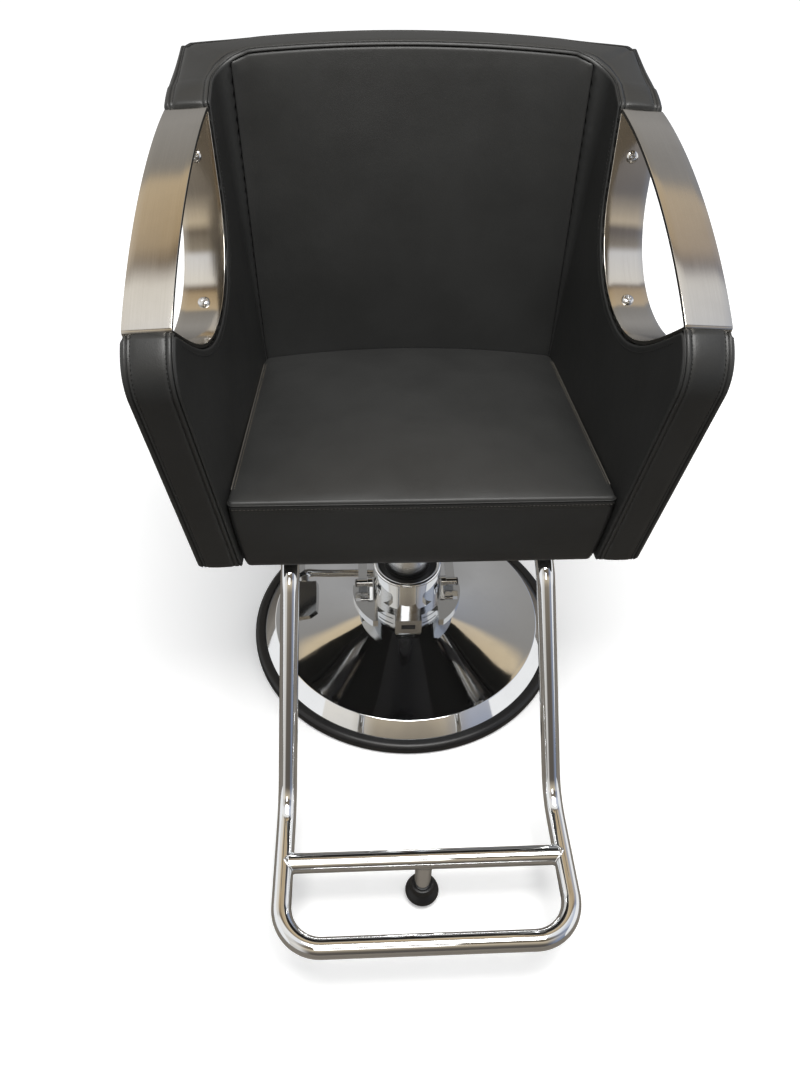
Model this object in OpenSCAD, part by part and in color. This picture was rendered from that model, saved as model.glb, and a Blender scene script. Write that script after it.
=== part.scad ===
// Hairdressing chair: an upholstered bucket with brushed strap armrests and a bent tube
// footrest, which swivels and rises on a hydraulic pump with a round chrome base.
// Millimetres, +Z up. The origin is on the pump's axis at floor level, and the seat faces -Y.

/* [Base] */
// Diameter over the rubber ring
base_d = 600; // [520:5:680]
// Radial width of the rubber ring outside the cover
ring_w = 19; // [15:1:26]
// Height of the rubber ring
ring_h = 22; // [16:1:28]
// Thickness of the steel base plate
plate_t = 12; // [8:1:16]
// Sheet thickness of the chrome cover
cover_t = 2; // [1:0.5:3]
// Width of the cover's bevelled rim
bevel_w = 23; // [12:1:40]
// Height of the cover at the top of its bevel
bevel_h = 44; // [34:1:54]
// Height of the cover at the pump
cone_h = 72; // [62:1:84]

/* [Pump] */
// Diameter of the chrome jacket
jacket_d = 128; // [116:1:140]
// Bore of the jacket
jacket_bore = 108; // [98:1:110]
// Height of the jacket's rim above the floor
jacket_top = 184; // [170:1:210]
// Diameter of the moving sleeve
sleeve_d = 82; // [78:1:92]
// Wall of the moving sleeve
sleeve_wall = 3; // [2:0.5:4]
// Diameter of the piston rod
rod_d = 44; // [36:1:46]
// Outer diameter of the oil cylinder
oil_d = 66; // [60:1:70]
// Bore of the oil cylinder
oil_bore = 52; // [50:1:54]
// Travel of the seat
lift = 150; // [80:5:150]
// Diameter of the collar round the jacket
collar_d = 144; // [138:1:156]
// Height of the collar
collar_h = 36; // [28:1:44]
// Reach of the collar's two side lugs from the pump's axis
lug_r = 104; // [98:1:112]

/* [Pedal] */
// Height of the pedal's pivot above the floor
pivot_z = 127; // [122:1:134]
// Diameter of the pivot pins
pin_d = 9; // [8:0.5:10]
// Outer diameter of the yoke's barrels
barrel_d = 16; // [14:0.5:18]
// Length of the foot pad
pad_l = 112; // [80:2:130]
// Width of the foot pad
pad_w = 46; // [36:1:56]

/* [Seat] */
// Height of the front seam of the seat above the floor
seat_h = 573; // [550:1:600]
// Height of the boxing at the front of the seat
boxing_h = 131; // [110:1:140]
// Distance between the side panels at their lower edge, at the pump's axis
seat_gap = 472; // [440:2:520]
// Distance from the pump's axis to the front seam
seat_front = 274; // [250:1:300]
// Crown of the seat's top
seat_crown = 19; // [8:1:28]
// Fall of the seat towards its back
seat_fall = 19; // [8:1:28]
// Angle by which the backrest leans
recline = 8.5; // [5:0.5:10]
// Distance from the pump's axis to the face of the backrest, at seat height
back_y = 122; // [112:1:132]
// Height of the middle of the backrest's top edge above the front seam
back_h = 427; // [390:1:460]
// Thickness of the back cushion
back_pad_t = 32; // [26:1:38]
// Thickness of the upholstered shell behind it
back_shell_t = 34; // [28:1:44]
// Rise of the backrest's top edge from its ends to its middle
back_arch = 14; // [6:1:32]

/* [Side panels] */
// Thickness of a side panel
side_t = 58; // [52:1:66]
// Outward lean of the side panels
side_lean = 4.6; // [2:0.2:6]
// Outward splay of the side panels towards the front
side_splay = 3.1; // [1:0.1:4]
// Drop of the side panels' lower edge below the front seam
side_drop = 121; // [112:1:132]
// Distance from the pump's axis to the lower front corner
side_front = 270; // [250:1:290]
// Height of the armrest's front end above the lower edge
nose_h = 368; // [340:1:400]
// Height of the armrest's rear end above the lower edge
wing_h = 488; // [460:1:500]
// Width of the steel strap
strap_w = 51; // [40:1:52]
// Thickness of the steel strap
strap_t = 5; // [3:0.5:6]

/* [Footrest] */
// Diameter of the footrest tube
tube_d = 28; // [22:1:32]
// Wall of the footrest tube
tube_wall = 2; // [1.5:0.5:3]
// Height of the footrest above the floor
foot_z = 117; // [110:1:130]
// Distance from the pump's axis to the front bar
foot_front = 661; // [620:1:700]
// Distance from the pump's axis to the crossbar
cross_y = 543; // [520:1:560]
// Distance from the pump's axis to the knee bends
knee_y = 449; // [430:1:470]
// Distance from the pump's axis to the bends under the seat
leg_y = 235; // [220:1:260]
// Distance between the two side tubes
foot_w = 407; // [380:1:430]
// Distance between the tubes under the seat
leg_w = 378; // [350:1:390]
// Radius of the footrest's front corners
corner_r = 58; // [50:1:70]
// Radius of the other bends
bend_r = 70; // [60:1:80]
// Diameter of the rubber foot
bell_d = 52; // [44:1:60]
// Gap between the rubber foot and the floor when the seat is down
bell_gap = 9; // [6:1:14]

/* [Hidden] */
$fn = 96;

// Overrun of a cut past the faces that it goes through
over = 1;
// Radial clearance of a running fit
run_fit = 0.05;
// Space between pieces that lie against each other
rest_gap = 0.3;
// Step and overlap where a bend takes in a straight length of tube
bend_step = 0.25;
bend_in = 1.5;

// Base
base_r = base_d / 2;
cover_r = base_r - ring_w;
bevel_r = cover_r - bevel_w;
bevel_foot_share = 0.93;
plate_r = cover_r - cover_t - rest_gap;
foot_flange_r = 92;
foot_flange_t = 8;
foot_top = plate_t + foot_flange_t;
foot_bolt_d = 10;
foot_bolt_head = 16;
foot_bolt_head_h = 6;
foot_bolt_count = 4;
bolt_gap = 0.2;

// Pump
jacket_r = jacket_d / 2;
bore_r = jacket_bore / 2;
jacket_wall = jacket_r - bore_r;
sleeve_r = sleeve_d / 2;
sleeve_foot = 24;
wiper_t = 12;
wiper_drop = 4;
rod_foot = 30;
piston_h = 20;
oil_room = 36;
gland_h = 30;

// The stack under the seat, from the top down
cushion_z = seat_h - boxing_h;
board_t = 12;
board_z = cushion_z - board_t;
mount_t = 6;
mount_z = board_z - mount_t;
hub_h = 40;
hub_d = 72;
hub_z = mount_z - hub_h;
washer_t = 6;
washer_z = hub_z - washer_t;
cap_t = 12;
cap_z = washer_z - cap_t;
oil_top = cap_z - oil_room;
rod_top = mount_z - washer_t;
mount_w = 150;
mount_l = 230;
mount_pitch_x = 110;
mount_pitch_y = 190;
mount_bolt_d = 8;
mount_bolt_head = 13;
mount_bolt_head_h = 5;

// Collar and pedal
collar_r = collar_d / 2;
collar_z = cone_h;
collar_top = collar_z + collar_h;
groove_w = 3;
groove_t = 1.5;
lug_x = 68;
lug_t = 16;
lug_front = 80;
lug_back = 12;
window_x = 27;
window_y = 22;
window_front = 30;
cheek_t = 9;
cheek_r = 11;
cheek_x = 66;
boss_w = 50;
boss_out = 10;
boss_cut_w = 26;
boss_cut_h = 12;
boss_cut_t = 6;
collar_bolt_d = 8;
barrel_gap = 1;
barrel_x = cheek_x + cheek_t + barrel_gap;
barrel_l = 20;
clip_t = 2;
clip_gap = 0.3;
clip_d = 15;
pin_end = barrel_x + barrel_l + clip_gap + clip_t + over;
arm_t = 12;
arm_w = 17;
yoke_y = 104;
yoke_bar_w = 16;
lever_d = 16;
lever_x = 58;
lever_out_y = 182;
pad_t = 12;
pad_x = 222;
pad_y = 92;
pad_z = 110;
pad_chamfer = 12;

// Outline of a side panel seen from the side, as shares of its height and length.
// Height is counted from the lower edge, length from the lower front corner towards the back.
nose_tip_shares = [0.155, 0.845];
nose_top_share = 0.008;
nose_pull_shares = [0.08, 0.06, 0.04];
cut_low_shares = [0.37, 0.569];
cut_front_shares = [0.12, 0.13, 0.15];
cut_rear_shares = [0.2, 0.045, 0.13];
riser_low_shares = [0.757, 0.81];
riser_top_shares = [0.05, 0.996];
wing_front_shares = [0.02, 0.012];
arm_ends_shares = [0.008, 1.2, 1.6];
arm_pull_shares = [0.215, 0.165, 0.3, 0.022];
// Length of the web in an inner corner of the strap, as a share of the strap's thickness
corner_web_share = 1.6;
// Places of the two bolts along their lengths of the lower run
bolt_low_share = 0.4;
bolt_high_share = 0.78;
// How the feet of the panel's sections crowd towards the front
foot_spread_share = 0.85;
// Part of the seat's length over which its crown rises
crown_rise_share = 0.45;
// Profile of the rubber foot, as shares of its radii and its height
bell_out_shares = [0.86, 0.94, 1.06];
bell_up_shares = [0.16, 0.36, 0.62];
// Head of a collar bolt, as a share of its diameter
collar_head_share = 1.4;

back_top = seat_h + back_h;
side_z = seat_h - side_drop;
back_slope = tan(recline);
lean_slope = tan(side_lean);
splay_slope = tan(side_splay);
back_t = back_pad_t + back_shell_t;
side_l = side_front + rear_y(side_z);
side_base_x = seat_gap / 2;
pad_r = 10;
panel_r = 7;
panel_crown = 3;
panel_gap = 0.4;
front_lean = 12;
boxing_bulge = 4;
boxing_draw = 3;
back_crown = 9;
back_inset = 4;
shell_drop = 3;

// Place of the backrest's face and of its rear at a height, and half the room between the panels
function face_y(z) = back_y + back_slope * (z - seat_h);
function rear_y(z) = face_y(z) + back_t;
function side_x(y, z) = side_base_x + lean_slope * (z - side_z) - splay_slope * y;

// Footrest
tube_r = tube_d / 2;
run_z = board_z - tube_r;
leg_back = 60;
post_d = 25;
bell_h = 30;
bell_neck_d = 34;
clamp_l = 26;
clamp_t = 3;
clamp_ear = 16;
clamp_front = 150;
clamp_rear = 20;
screw_d = 6;
screw_head_d = 11;
screw_head_h = 4;
plug_t = 3;
plug_in = 12;

// Bolts of the armrest
arm_bolt_d = 8;
arm_bolt_head = 16;
arm_bolt_head_h = 5;
arm_bolt_l = 40;
arm_bolt_slot = 2;

// General curve and loft functions

function lerp(a, b, t) = a + (b - a) * t;
function curve(p, t) = pow(1 - t, 3) * p[0] + 3 * pow(1 - t, 2) * t * p[1]
    + 3 * (1 - t) * t * t * p[2] + t * t * t * p[3];
function total(list, i = 0) = i == len(list) - 1 ? list[i] : list[i] + total(list, i + 1);
function middle(list) = total(list) / len(list);
function unit(v) = v / norm(v);
function left_of(v) = [-v[1], v[0]];

// Ring round a cushion's section: each entry is a place on the flat part, from -1 to 1 each way,
// and the direction in which the rounded edge stands out there.
function ring(nw, nh, nc) = concat(
    [for (i = [1 : nw - 1]) [-1 + 2 * i / nw, -1, 0, -1]],
    [for (j = [0 : nc]) [1, -1, cos(90 * j / nc - 90), sin(90 * j / nc - 90)]],
    [for (i = [1 : nh - 1]) [1, -1 + 2 * i / nh, 1, 0]],
    [for (j = [0 : nc]) [1, 1, cos(90 * j / nc), sin(90 * j / nc)]],
    [for (i = [1 : nw - 1]) [1 - 2 * i / nw, 1, 0, 1]],
    [for (j = [0 : nc]) [-1, 1, cos(90 * j / nc + 90), sin(90 * j / nc + 90)]],
    [for (i = [1 : nh - 1]) [-1, 1 - 2 * i / nh, -1, 0]],
    [for (j = [0 : nc]) [-1, -1, cos(90 * j / nc + 180), sin(90 * j / nc + 180)]]);

// Stations along a cushion with rounded ends: place from 0 to 1, and two shares of the edge
// radius, by which the place moves in from the end and the section shrinks
function stations(n, nc) = concat(
    [for (j = [0 : nc - 1]) [0, 1 - cos(90 * j / nc), 1 - sin(90 * j / nc)]],
    [for (i = [0 : n]) [i / n, i == 0 || i == n ? 1 : 0, 0]],
    [for (j = [nc - 1 : -1 : 0]) [1, 1 - cos(90 * j / nc), 1 - sin(90 * j / nc)]]);

// Closed skin through sections that all have the same number of points
module loft(sections, start, end) {
    n = len(sections[0]);
    m = len(sections);
    points = concat([for (s = sections) each s], [start, end]);
    walls = [for (k = [0 : m - 2], i = [0 : n - 1]) each [
        [k * n + i, k * n + (i + 1) % n, (k + 1) * n + (i + 1) % n],
        [k * n + i, (k + 1) * n + (i + 1) % n, (k + 1) * n + i]]];
    first = [for (i = [0 : n - 1]) [(i + 1) % n, i, m * n]];
    last = [for (i = [0 : n - 1]) [(m - 1) * n + i, (m - 1) * n + (i + 1) % n, m * n + 1]];
    polyhedron(points = points, faces = concat(walls, first, last), convexity = 8);
}

module both_sides() {
    children();
    mirror([1, 0, 0]) children();
}

module tube(r_out, r_in, h) {
    difference() {
        cylinder(r = r_out, h = h);
        translate([0, 0, -over]) cylinder(r = r_in, h = h + 2 * over);
    }
}

// Base

module base_plate() {
    color("dimgray") difference() {
        cylinder(r = plate_r, h = plate_t);
        foot_bolt_places() translate([0, 0, -over])
            cylinder(d = foot_bolt_d + 2 * bolt_gap, h = plate_t + 2 * over);
    }
}

module foot_bolt_places() {
    for (i = [0 : foot_bolt_count - 1])
        rotate(45 + 360 * i / foot_bolt_count)
            translate([(jacket_r + foot_flange_r) / 2, 0, 0]) children();
}

module base_cover() {
    bevel_foot_h = ring_h * bevel_foot_share;
    top_r = collar_r + cover_t;
    color("silver") rotate_extrude($fn = 180) polygon([
        [jacket_r + rest_gap, cone_h], [top_r, cone_h], [bevel_r, bevel_h], [cover_r, bevel_foot_h],
        [cover_r, cover_t], [cover_r - cover_t, cover_t], [cover_r - cover_t, bevel_foot_h - cover_t],
        [bevel_r - cover_t, bevel_h - cover_t], [top_r - cover_t, cone_h - cover_t],
        [jacket_r + rest_gap, cone_h - cover_t]]);
}

module rim_ring() {
    round_r = ring_h / 2;
    color("black") rotate_extrude($fn = 180) {
        translate([cover_r + rest_gap, 0]) square([ring_w - round_r - rest_gap, ring_h]);
        intersection() {
            translate([base_r - round_r, round_r]) circle(round_r);
            translate([base_r - round_r, 0]) square([round_r, ring_h]);
        }
    }
}

module pump_foot() {
    color("dimgray") translate([0, 0, plate_t]) difference() {
        cylinder(r = foot_flange_r, h = foot_flange_t);
        translate([0, 0, -over]) foot_bolt_places()
            cylinder(d = foot_bolt_d + 2 * bolt_gap, h = foot_flange_t + 2 * over);
    }
}

module foot_bolts() {
    color("gray") foot_bolt_places() {
        translate([0, 0, cover_t]) cylinder(d = foot_bolt_d, h = foot_top - cover_t);
        translate([0, 0, foot_top]) cylinder(d = foot_bolt_head, h = foot_bolt_head_h, $fn = 6);
    }
}

// Pump

module pump_jacket() {
    round_r = jacket_wall / 2;
    color("silver") rotate_extrude() {
        translate([bore_r, foot_top]) square([jacket_wall, jacket_top - foot_top - round_r]);
        translate([bore_r + round_r, jacket_top - round_r]) circle(round_r);
    }
}

module wiper_ring() {
    color("black") translate([0, 0, jacket_top - jacket_wall / 2 - wiper_drop - wiper_t])
        tube(bore_r, sleeve_r + rest_gap, wiper_t);
}

module oil_cylinder() {
    color("gray") translate([0, 0, foot_top]) tube(oil_d / 2, oil_bore / 2, oil_top - foot_top);
}

module rod_gland() {
    color("goldenrod") translate([0, 0, oil_top - gland_h]) tube(oil_bore / 2, rod_d / 2 + run_fit, gland_h);
}

module pump_collar() {
    color("silver") {
        difference() {
            union() {
                translate([0, 0, collar_z]) cylinder(r = collar_r, h = collar_h);
                translate([-boss_w / 2, -collar_r - boss_out, collar_z])
                    cube([boss_w, collar_r + boss_out, collar_h]);
                both_sides() collar_lug();
            }
            translate([0, 0, collar_z - over]) cylinder(r = jacket_r, h = collar_h + 2 * over);
            for (z = [collar_z + collar_h / 4, collar_z + collar_h * 3 / 4 - groove_w])
                translate([0, 0, z]) difference() {
                    tube(collar_r + over, collar_r - groove_t, groove_w);
                    translate([-boss_w / 2 - groove_w, -collar_r - boss_out, -over])
                        cube([boss_w + 2 * groove_w, collar_r + boss_out, groove_w + 2 * over]);
                    both_sides() translate([lug_x - window_x / 2, -lug_front, -over])
                        cube([window_x, lug_front + lug_back, groove_w + 2 * over]);
                }
            translate([-boss_cut_w / 2, -collar_r - boss_out - over, collar_z + (collar_h - boss_cut_h) / 2])
                cube([boss_cut_w, boss_cut_t + over, boss_cut_h]);
        }
    }
}

// One side lug: a flat segment with a window, and the cheek that holds the pivot pin
module collar_lug() {
    lug_z = collar_top - lug_t;
    difference() {
        intersection() {
            translate([0, 0, lug_z]) cylinder(r = lug_r, h = lug_t);
            translate([cheek_x - cheek_t, -lug_front, lug_z - over])
                cube([lug_r, lug_front + lug_back, lug_t + 2 * over]);
        }
        translate([cheek_x + (lug_r - cheek_x - window_x) / 2, -window_front, lug_z - over])
            cube([window_x, window_y, lug_t + 2 * over]);
    }
    difference() {
        union() {
            translate([cheek_x, 0, pivot_z]) rotate([0, 90, 0]) cylinder(r = cheek_r, h = cheek_t);
            translate([cheek_x, -cheek_r, lug_z]) cube([cheek_t, 2 * cheek_r, pivot_z - lug_z]);
        }
        translate([cheek_x - over, 0, pivot_z]) rotate([0, 90, 0])
            cylinder(d = pin_d, h = cheek_t + 2 * over);
    }
}

module collar_bolts() {
    bolt_x = cheek_x + (lug_r - cheek_x - window_x) / 2;
    color("gainsboro") both_sides()
        translate([bolt_x, -window_front + window_y / 2, collar_top - lug_t / 2]) rotate([0, 90, 0]) {
            cylinder(d = collar_bolt_d, h = window_x / 2);
            translate([0, 0, window_x / 2])
                cylinder(d = collar_head_share * collar_bolt_d, h = collar_bolt_d / 2);
        }
}

module boss_plug() {
    color("darkslategray")
        translate([-boss_cut_w / 2, -collar_r - boss_out + boss_cut_t / 2,
            collar_z + (collar_h - boss_cut_h) / 2]) cube([boss_cut_w, boss_cut_t / 2, boss_cut_h]);
}

module pivot_pins() {
    color("gray") both_sides() translate([cheek_x, 0, pivot_z]) rotate([0, 90, 0])
        cylinder(d = pin_d, h = pin_end - cheek_x);
}

module pin_clips() {
    color("dimgray") both_sides() translate([barrel_x + barrel_l + clip_gap, 0, pivot_z]) rotate([0, 90, 0])
        tube(clip_d / 2, pin_d / 2, clip_t);
}

// Pedal

module pedal_yoke() {
    color("silver") {
        both_sides() difference() {
            union() {
                translate([barrel_x, 0, pivot_z]) rotate([0, 90, 0]) cylinder(d = barrel_d, h = barrel_l);
                translate([barrel_x, 0, pivot_z - arm_t / 2]) cube([arm_w, yoke_y, arm_t]);
            }
            translate([barrel_x - over, 0, pivot_z]) rotate([0, 90, 0])
                cylinder(r = pin_d / 2 + run_fit, h = barrel_l + 2 * over);
        }
        translate([-barrel_x - arm_w, yoke_y - yoke_bar_w, pivot_z - arm_t / 2])
            cube([2 * (barrel_x + arm_w), yoke_bar_w, arm_t]);
    }
}

// The bar that reaches from the yoke round to the foot pad at the left
module pedal_lever() {
    color("silver") difference() {
        tube_run([[-lever_x, yoke_y - yoke_bar_w / 2, pivot_z], [-lever_x, lever_out_y, pad_z],
            [-pad_x, lever_out_y, pad_z], [-pad_x, pad_y + pad_l / 2, pad_z]], lever_d / 2, 0,
            [0, lever_d, lever_d, 0]);
        translate([-lever_x - lever_d, yoke_y - 2 * yoke_bar_w, pivot_z - lever_d])
            cube([2 * lever_d, 2 * yoke_bar_w, 2 * lever_d]);
    }
}

module pedal_pad() {
    half_w = pad_w / 2;
    half_l = pad_l / 2;
    color("lightgray") translate([-pad_x, pad_y, pad_z - pad_t / 2]) linear_extrude(pad_t) polygon([
        [-half_w + pad_chamfer, -half_l], [half_w - pad_chamfer, -half_l], [half_w, -half_l + pad_chamfer],
        [half_w, half_l], [-half_w, half_l], [-half_w, -half_l + pad_chamfer]]);
}

// Ram

module piston_rod() {
    color("gainsboro") translate([0, 0, rod_foot]) cylinder(d = rod_d, h = rod_top - rod_foot);
}

module piston_head() {
    color("dimgray") translate([0, 0, rod_foot]) tube(oil_bore / 2 - run_fit, rod_d / 2, piston_h);
}

module ram_sleeve() {
    color("lightgray") translate([0, 0, sleeve_foot])
        tube(sleeve_r, sleeve_r - sleeve_wall, cap_z - sleeve_foot);
}

module ram_cap() {
    color("gray") translate([0, 0, cap_z]) tube(sleeve_r, rod_d / 2, cap_t);
}

module thrust_washer() {
    color("peru") translate([0, 0, washer_z]) tube(hub_d / 2, rod_d / 2 + run_fit, washer_t);
}

// Seat carrier

module swivel_hub() {
    color("dimgray") translate([0, 0, hub_z]) tube(hub_d / 2, rod_d / 2 + run_fit, hub_h);
}

module mount_bolt_places() {
    for (x = [-1, 1], y = [-1, 1]) translate([x * mount_pitch_x / 2, y * mount_pitch_y / 2, 0]) children();
}

module mount_plate() {
    color("dimgray") translate([0, 0, mount_z]) difference() {
        translate([-mount_w / 2, -mount_l / 2, 0]) cube([mount_w, mount_l, mount_t]);
        mount_bolt_places() translate([0, 0, -over])
            cylinder(d = mount_bolt_d + 2 * bolt_gap, h = mount_t + 2 * over);
    }
}

module mount_bolts() {
    color("gray") mount_bolt_places() {
        translate([0, 0, mount_z]) cylinder(d = mount_bolt_d, h = mount_t + board_t);
        translate([0, 0, mount_z - mount_bolt_head_h])
            cylinder(d = mount_bolt_head, h = mount_bolt_head_h, $fn = 6);
    }
}

// Plywood board under the seat, narrower than the cushion all round
module seat_board() {
    inset = 20;
    front = -seat_front + inset + front_lean;
    rear = rear_y(cushion_z) - inset;
    color("saddlebrown") translate([0, 0, board_z]) difference() {
        linear_extrude(board_t) polygon([
            [-side_x(front, cushion_z) + inset, front], [side_x(front, cushion_z) - inset, front],
            [side_x(rear, cushion_z) - inset, rear], [-side_x(rear, cushion_z) + inset, rear]]);
        mount_bolt_places() translate([0, 0, -over])
            cylinder(d = mount_bolt_d + 2 * bolt_gap, h = board_t + 2 * over);
    }
}

// Upholstery

// Seat cushion: sections across the seat, with a crown that grows from the straight front seam
module seat_cushion() {
    rear = back_y - back_crown;
    sections = [for (s = stations(11, 2)) [for (p = ring(8, 4, 2)) seat_point(s, p, rear)]];
    nose = middle(sections[0]) - [0, boxing_bulge, 0];
    color("#2e2e30") loft(sections, nose, middle(sections[len(sections) - 1]));
}

function seat_point(s, p, rear) =
    let (
        end = s[0] < 0.5 ? 1 : -1,
        y0 = lerp(-seat_front, rear, s[0]) + end * pad_r * s[1],
        edge = pad_r * (1 - s[2]),
        height = boxing_h - seat_fall * s[0],
        up = (p[1] + 1) / 2,
        z = cushion_z + pad_r + up * (height - 2 * pad_r) + p[3] * edge
            + seat_crown * up * (1 - p[0] * p[0]) * sin(90 * min(1, s[0] / crown_rise_share)),
        y = y0 + front_lean * (1 - up) * (1 - s[0]),
        half = side_x(y, z) - panel_gap - pad_r,
        x = p[0] * half + p[2] * (edge - boxing_draw * (1 - p[1] * p[1]))
    ) [x, y, z];

// Back cushion: sections from the seat up, in front of the shell, with a bowed face
module back_cushion() {
    low = seat_h - seat_fall - boxing_h / 4;
    sections = [for (s = stations(9, 2)) [for (p = ring(8, 2, 2)) back_point(s, p, low)]];
    color("#303032") loft(sections, middle(sections[0]), middle(sections[len(sections) - 1]));
}

function back_point(s, p, low) =
    let (
        end = s[0] < 0.5 ? 1 : -1,
        top = back_top - shell_drop - back_arch * p[0] * p[0],
        z = lerp(low, top, s[0]) + end * pad_r * s[1],
        edge = pad_r * (1 - s[2]),
        half_t = back_pad_t / 2 - pad_r,
        y = face_y(z) + back_pad_t / 2 - rest_gap + p[1] * half_t + p[3] * edge
            - (1 - p[1]) / 2 * back_crown * (1 - p[0] * p[0]) * sin(180 * s[0]),
        half = side_x(y, z) - back_inset - pad_r
    ) [p[0] * half + p[2] * edge, y, z];

// Shell of the backrest, between the side panels, with its arched top band
module back_shell() {
    sections = [for (s = stations(9, 2)) [for (p = ring(8, 2, 2)) shell_point(s, p)]];
    color("#262628") loft(sections, middle(sections[0]), middle(sections[len(sections) - 1]));
}

function shell_point(s, p) =
    let (
        end = s[0] < 0.5 ? 1 : -1,
        top = back_top - back_arch * p[0] * p[0],
        z = lerp(side_z, top, s[0]) + end * pad_r * s[1],
        edge = pad_r * (1 - s[2]),
        half_t = back_shell_t / 2 - pad_r,
        y = face_y(z) + back_pad_t + back_shell_t / 2 + p[1] * half_t + p[3] * edge,
        half = side_x(y, z) - panel_gap - pad_r
    ) [p[0] * half + p[2] * edge, y, z];

// Side panel, drawn in its own upright plane: x is its thickness, outwards from the inner face.
// Corners of its upper edge, as [distance from the lower front corner, height above the lower edge]
nose_tip = [-nose_tip_shares[0] * side_front, nose_tip_shares[1] * nose_h];
nose_top = [-nose_top_share * side_front, nose_h];
cut_low = [cut_low_shares[0] * side_l, cut_low_shares[1] * wing_h];
riser_low = [riser_low_shares[0] * side_l, riser_low_shares[1] * wing_h];
riser_top = [riser_low[0] + riser_top_shares[0] * wing_h, riser_top_shares[1] * wing_h];
wing_front = riser_top + wing_h * wing_front_shares;
wing_rear = [side_front + rear_y(back_top - back_arch) - panel_r, back_top - back_arch - side_z];
nose_curve = [nose_tip, nose_tip + [0, nose_pull_shares[0] * nose_h],
    nose_top - nose_h * [nose_pull_shares[1], nose_pull_shares[2]], nose_top];
cut_front_curve = [nose_top, nose_top + [cut_front_shares[0] * side_l, -cut_front_shares[1] * nose_h],
    cut_low - [cut_front_shares[2] * side_l, 0], cut_low];
cut_rear_curve = [cut_low, cut_low + [cut_rear_shares[0] * side_l, 0],
    riser_low - [cut_rear_shares[1] * side_l, cut_rear_shares[2] * wing_h], riser_low];

nose_steps = 5;
front_steps = 9;
rear_steps = 10;
riser_steps = 2;
wing_steps = 5;
cut_edge = concat(
    [for (i = [0 : front_steps - 1]) curve(cut_front_curve, i / front_steps)],
    [for (i = [0 : rear_steps - 1]) curve(cut_rear_curve, i / rear_steps)],
    [for (i = [0 : riser_steps]) lerp(riser_low, riser_top, i / riser_steps)]);
top_edge = concat(
    [for (i = [0 : nose_steps - 1]) curve(nose_curve, i / nose_steps)],
    cut_edge,
    [for (i = [0 : wing_steps]) lerp(wing_front, wing_rear, i / wing_steps)]);

module side_place(side) {
    mirror([side < 0 ? 1 : 0, 0, 0]) translate([side_base_x, 0, side_z]) rotate([0, side_lean, side_splay])
        children();
}

module side_panel(side) {
    last = len(top_edge) - 1;
    base_l = side_front + rear_y(side_z) - panel_r;
    around = ring(2, 7, 2);
    sections = concat(
        [[for (p = around) panel_point(top_edge[0], 0, p, 0, 0)]],
        [for (k = [0 : last]) [for (p = around) panel_point(top_edge[k],
            base_l * pow(k / last, foot_spread_share), p, panel_r, k == 0 ? panel_r : 0)]],
        [[for (p = around) panel_point(top_edge[last], base_l, p, 0, panel_r)]]);
    color("#262628") side_place(side)
        loft(sections, middle(sections[0]), middle(sections[len(sections) - 1]));
}

// A point of the section that stands on the lower edge at foot and reaches the upper edge at top
function panel_point(top, foot, p, edge, along) =
    let (
        low = [foot, 0],
        way = unit(top - low),
        length = norm(top - low) - 2 * panel_r,
        at = low + way * (panel_r + (p[1] + 1) / 2 * length + p[3] * edge),
        half = side_t / 2 - panel_r,
        bulge = panel_crown * (1 - p[1] * p[1]) * max(0, p[2])
    ) [side_t / 2 + p[0] * half + p[2] * edge + bulge * edge / panel_r, at[0] + along - side_front, at[1]];

// Steel loop: the lower run lines the cut-out, and the upper run is the armrest
arm_rear = riser_top + [-strap_t / 2, arm_ends_shares[2] * strap_t];
arm_front = nose_top + [-arm_ends_shares[0] * side_front, arm_ends_shares[1] * strap_t];
arm_steps = 24;
arm_curve = [arm_front, arm_front + [arm_pull_shares[0] * side_l, arm_pull_shares[1] * nose_h],
    arm_rear - [arm_pull_shares[2] * side_l, arm_pull_shares[3] * wing_h], arm_rear];
arm_edge = [for (i = [0 : arm_steps]) curve(arm_curve, i / arm_steps)];

// A line moved sideways by a distance, square to its own direction
function moved(line, by) = [for (i = [0 : len(line) - 1])
    line[i] + by * left_of(unit(line[min(i + 1, len(line) - 1)] - line[max(i - 1, 0)]))];
function reversed(line) = [for (i = [len(line) - 1 : -1 : 0]) line[i]];

// A line without its ends, which are cut back by a distance
function cut_back(line, by) =
    let (last = len(line) - 1)
    concat([line[0] + by * unit(line[1] - line[0])], [for (i = [1 : last - 1]) line[i]],
        [line[last] + by * unit(line[last - 1] - line[last])]);

// One closed loop: where its two runs meet, the sharp inner corner is filled
module arm_strap(side) {
    web = corner_web_share * strap_t;
    outside = concat(moved(cut_edge, rest_gap), reversed(arm_edge));
    inside = concat(cut_back(moved(cut_edge, rest_gap + strap_t), web),
        reversed(cut_back(moved(arm_edge, -strap_t), web)));
    color("silver") difference() {
        side_place(side) translate([(side_t - strap_w) / 2, -side_front, 0])
            rotate([90, 0, 90]) linear_extrude(strap_w)
                polygon(concat(outside, inside), paths = [
                    [for (i = [0 : len(outside) - 1]) i],
                    [for (i = [0 : len(inside) - 1]) len(outside) + i]]);
        arm_bolt_holes(side);
    }
}

// The two bolts of an armrest, each on a flat length of the lower run and square to it
bolt_low_at = front_steps + 2;
bolt_high_at = front_steps + rear_steps;

module arm_bolt_places(side) {
    for (at = [[bolt_low_at, bolt_low_share], [bolt_high_at, bolt_high_share]]) {
        way = cut_edge[at[0] + 1] - cut_edge[at[0]];
        place = cut_edge[at[0]] + at[1] * way;
        side_place(side) translate([side_t / 2, place[0] - side_front, place[1]])
            rotate([atan2(way[1], way[0]), 0, 0]) children();
    }
}

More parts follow.
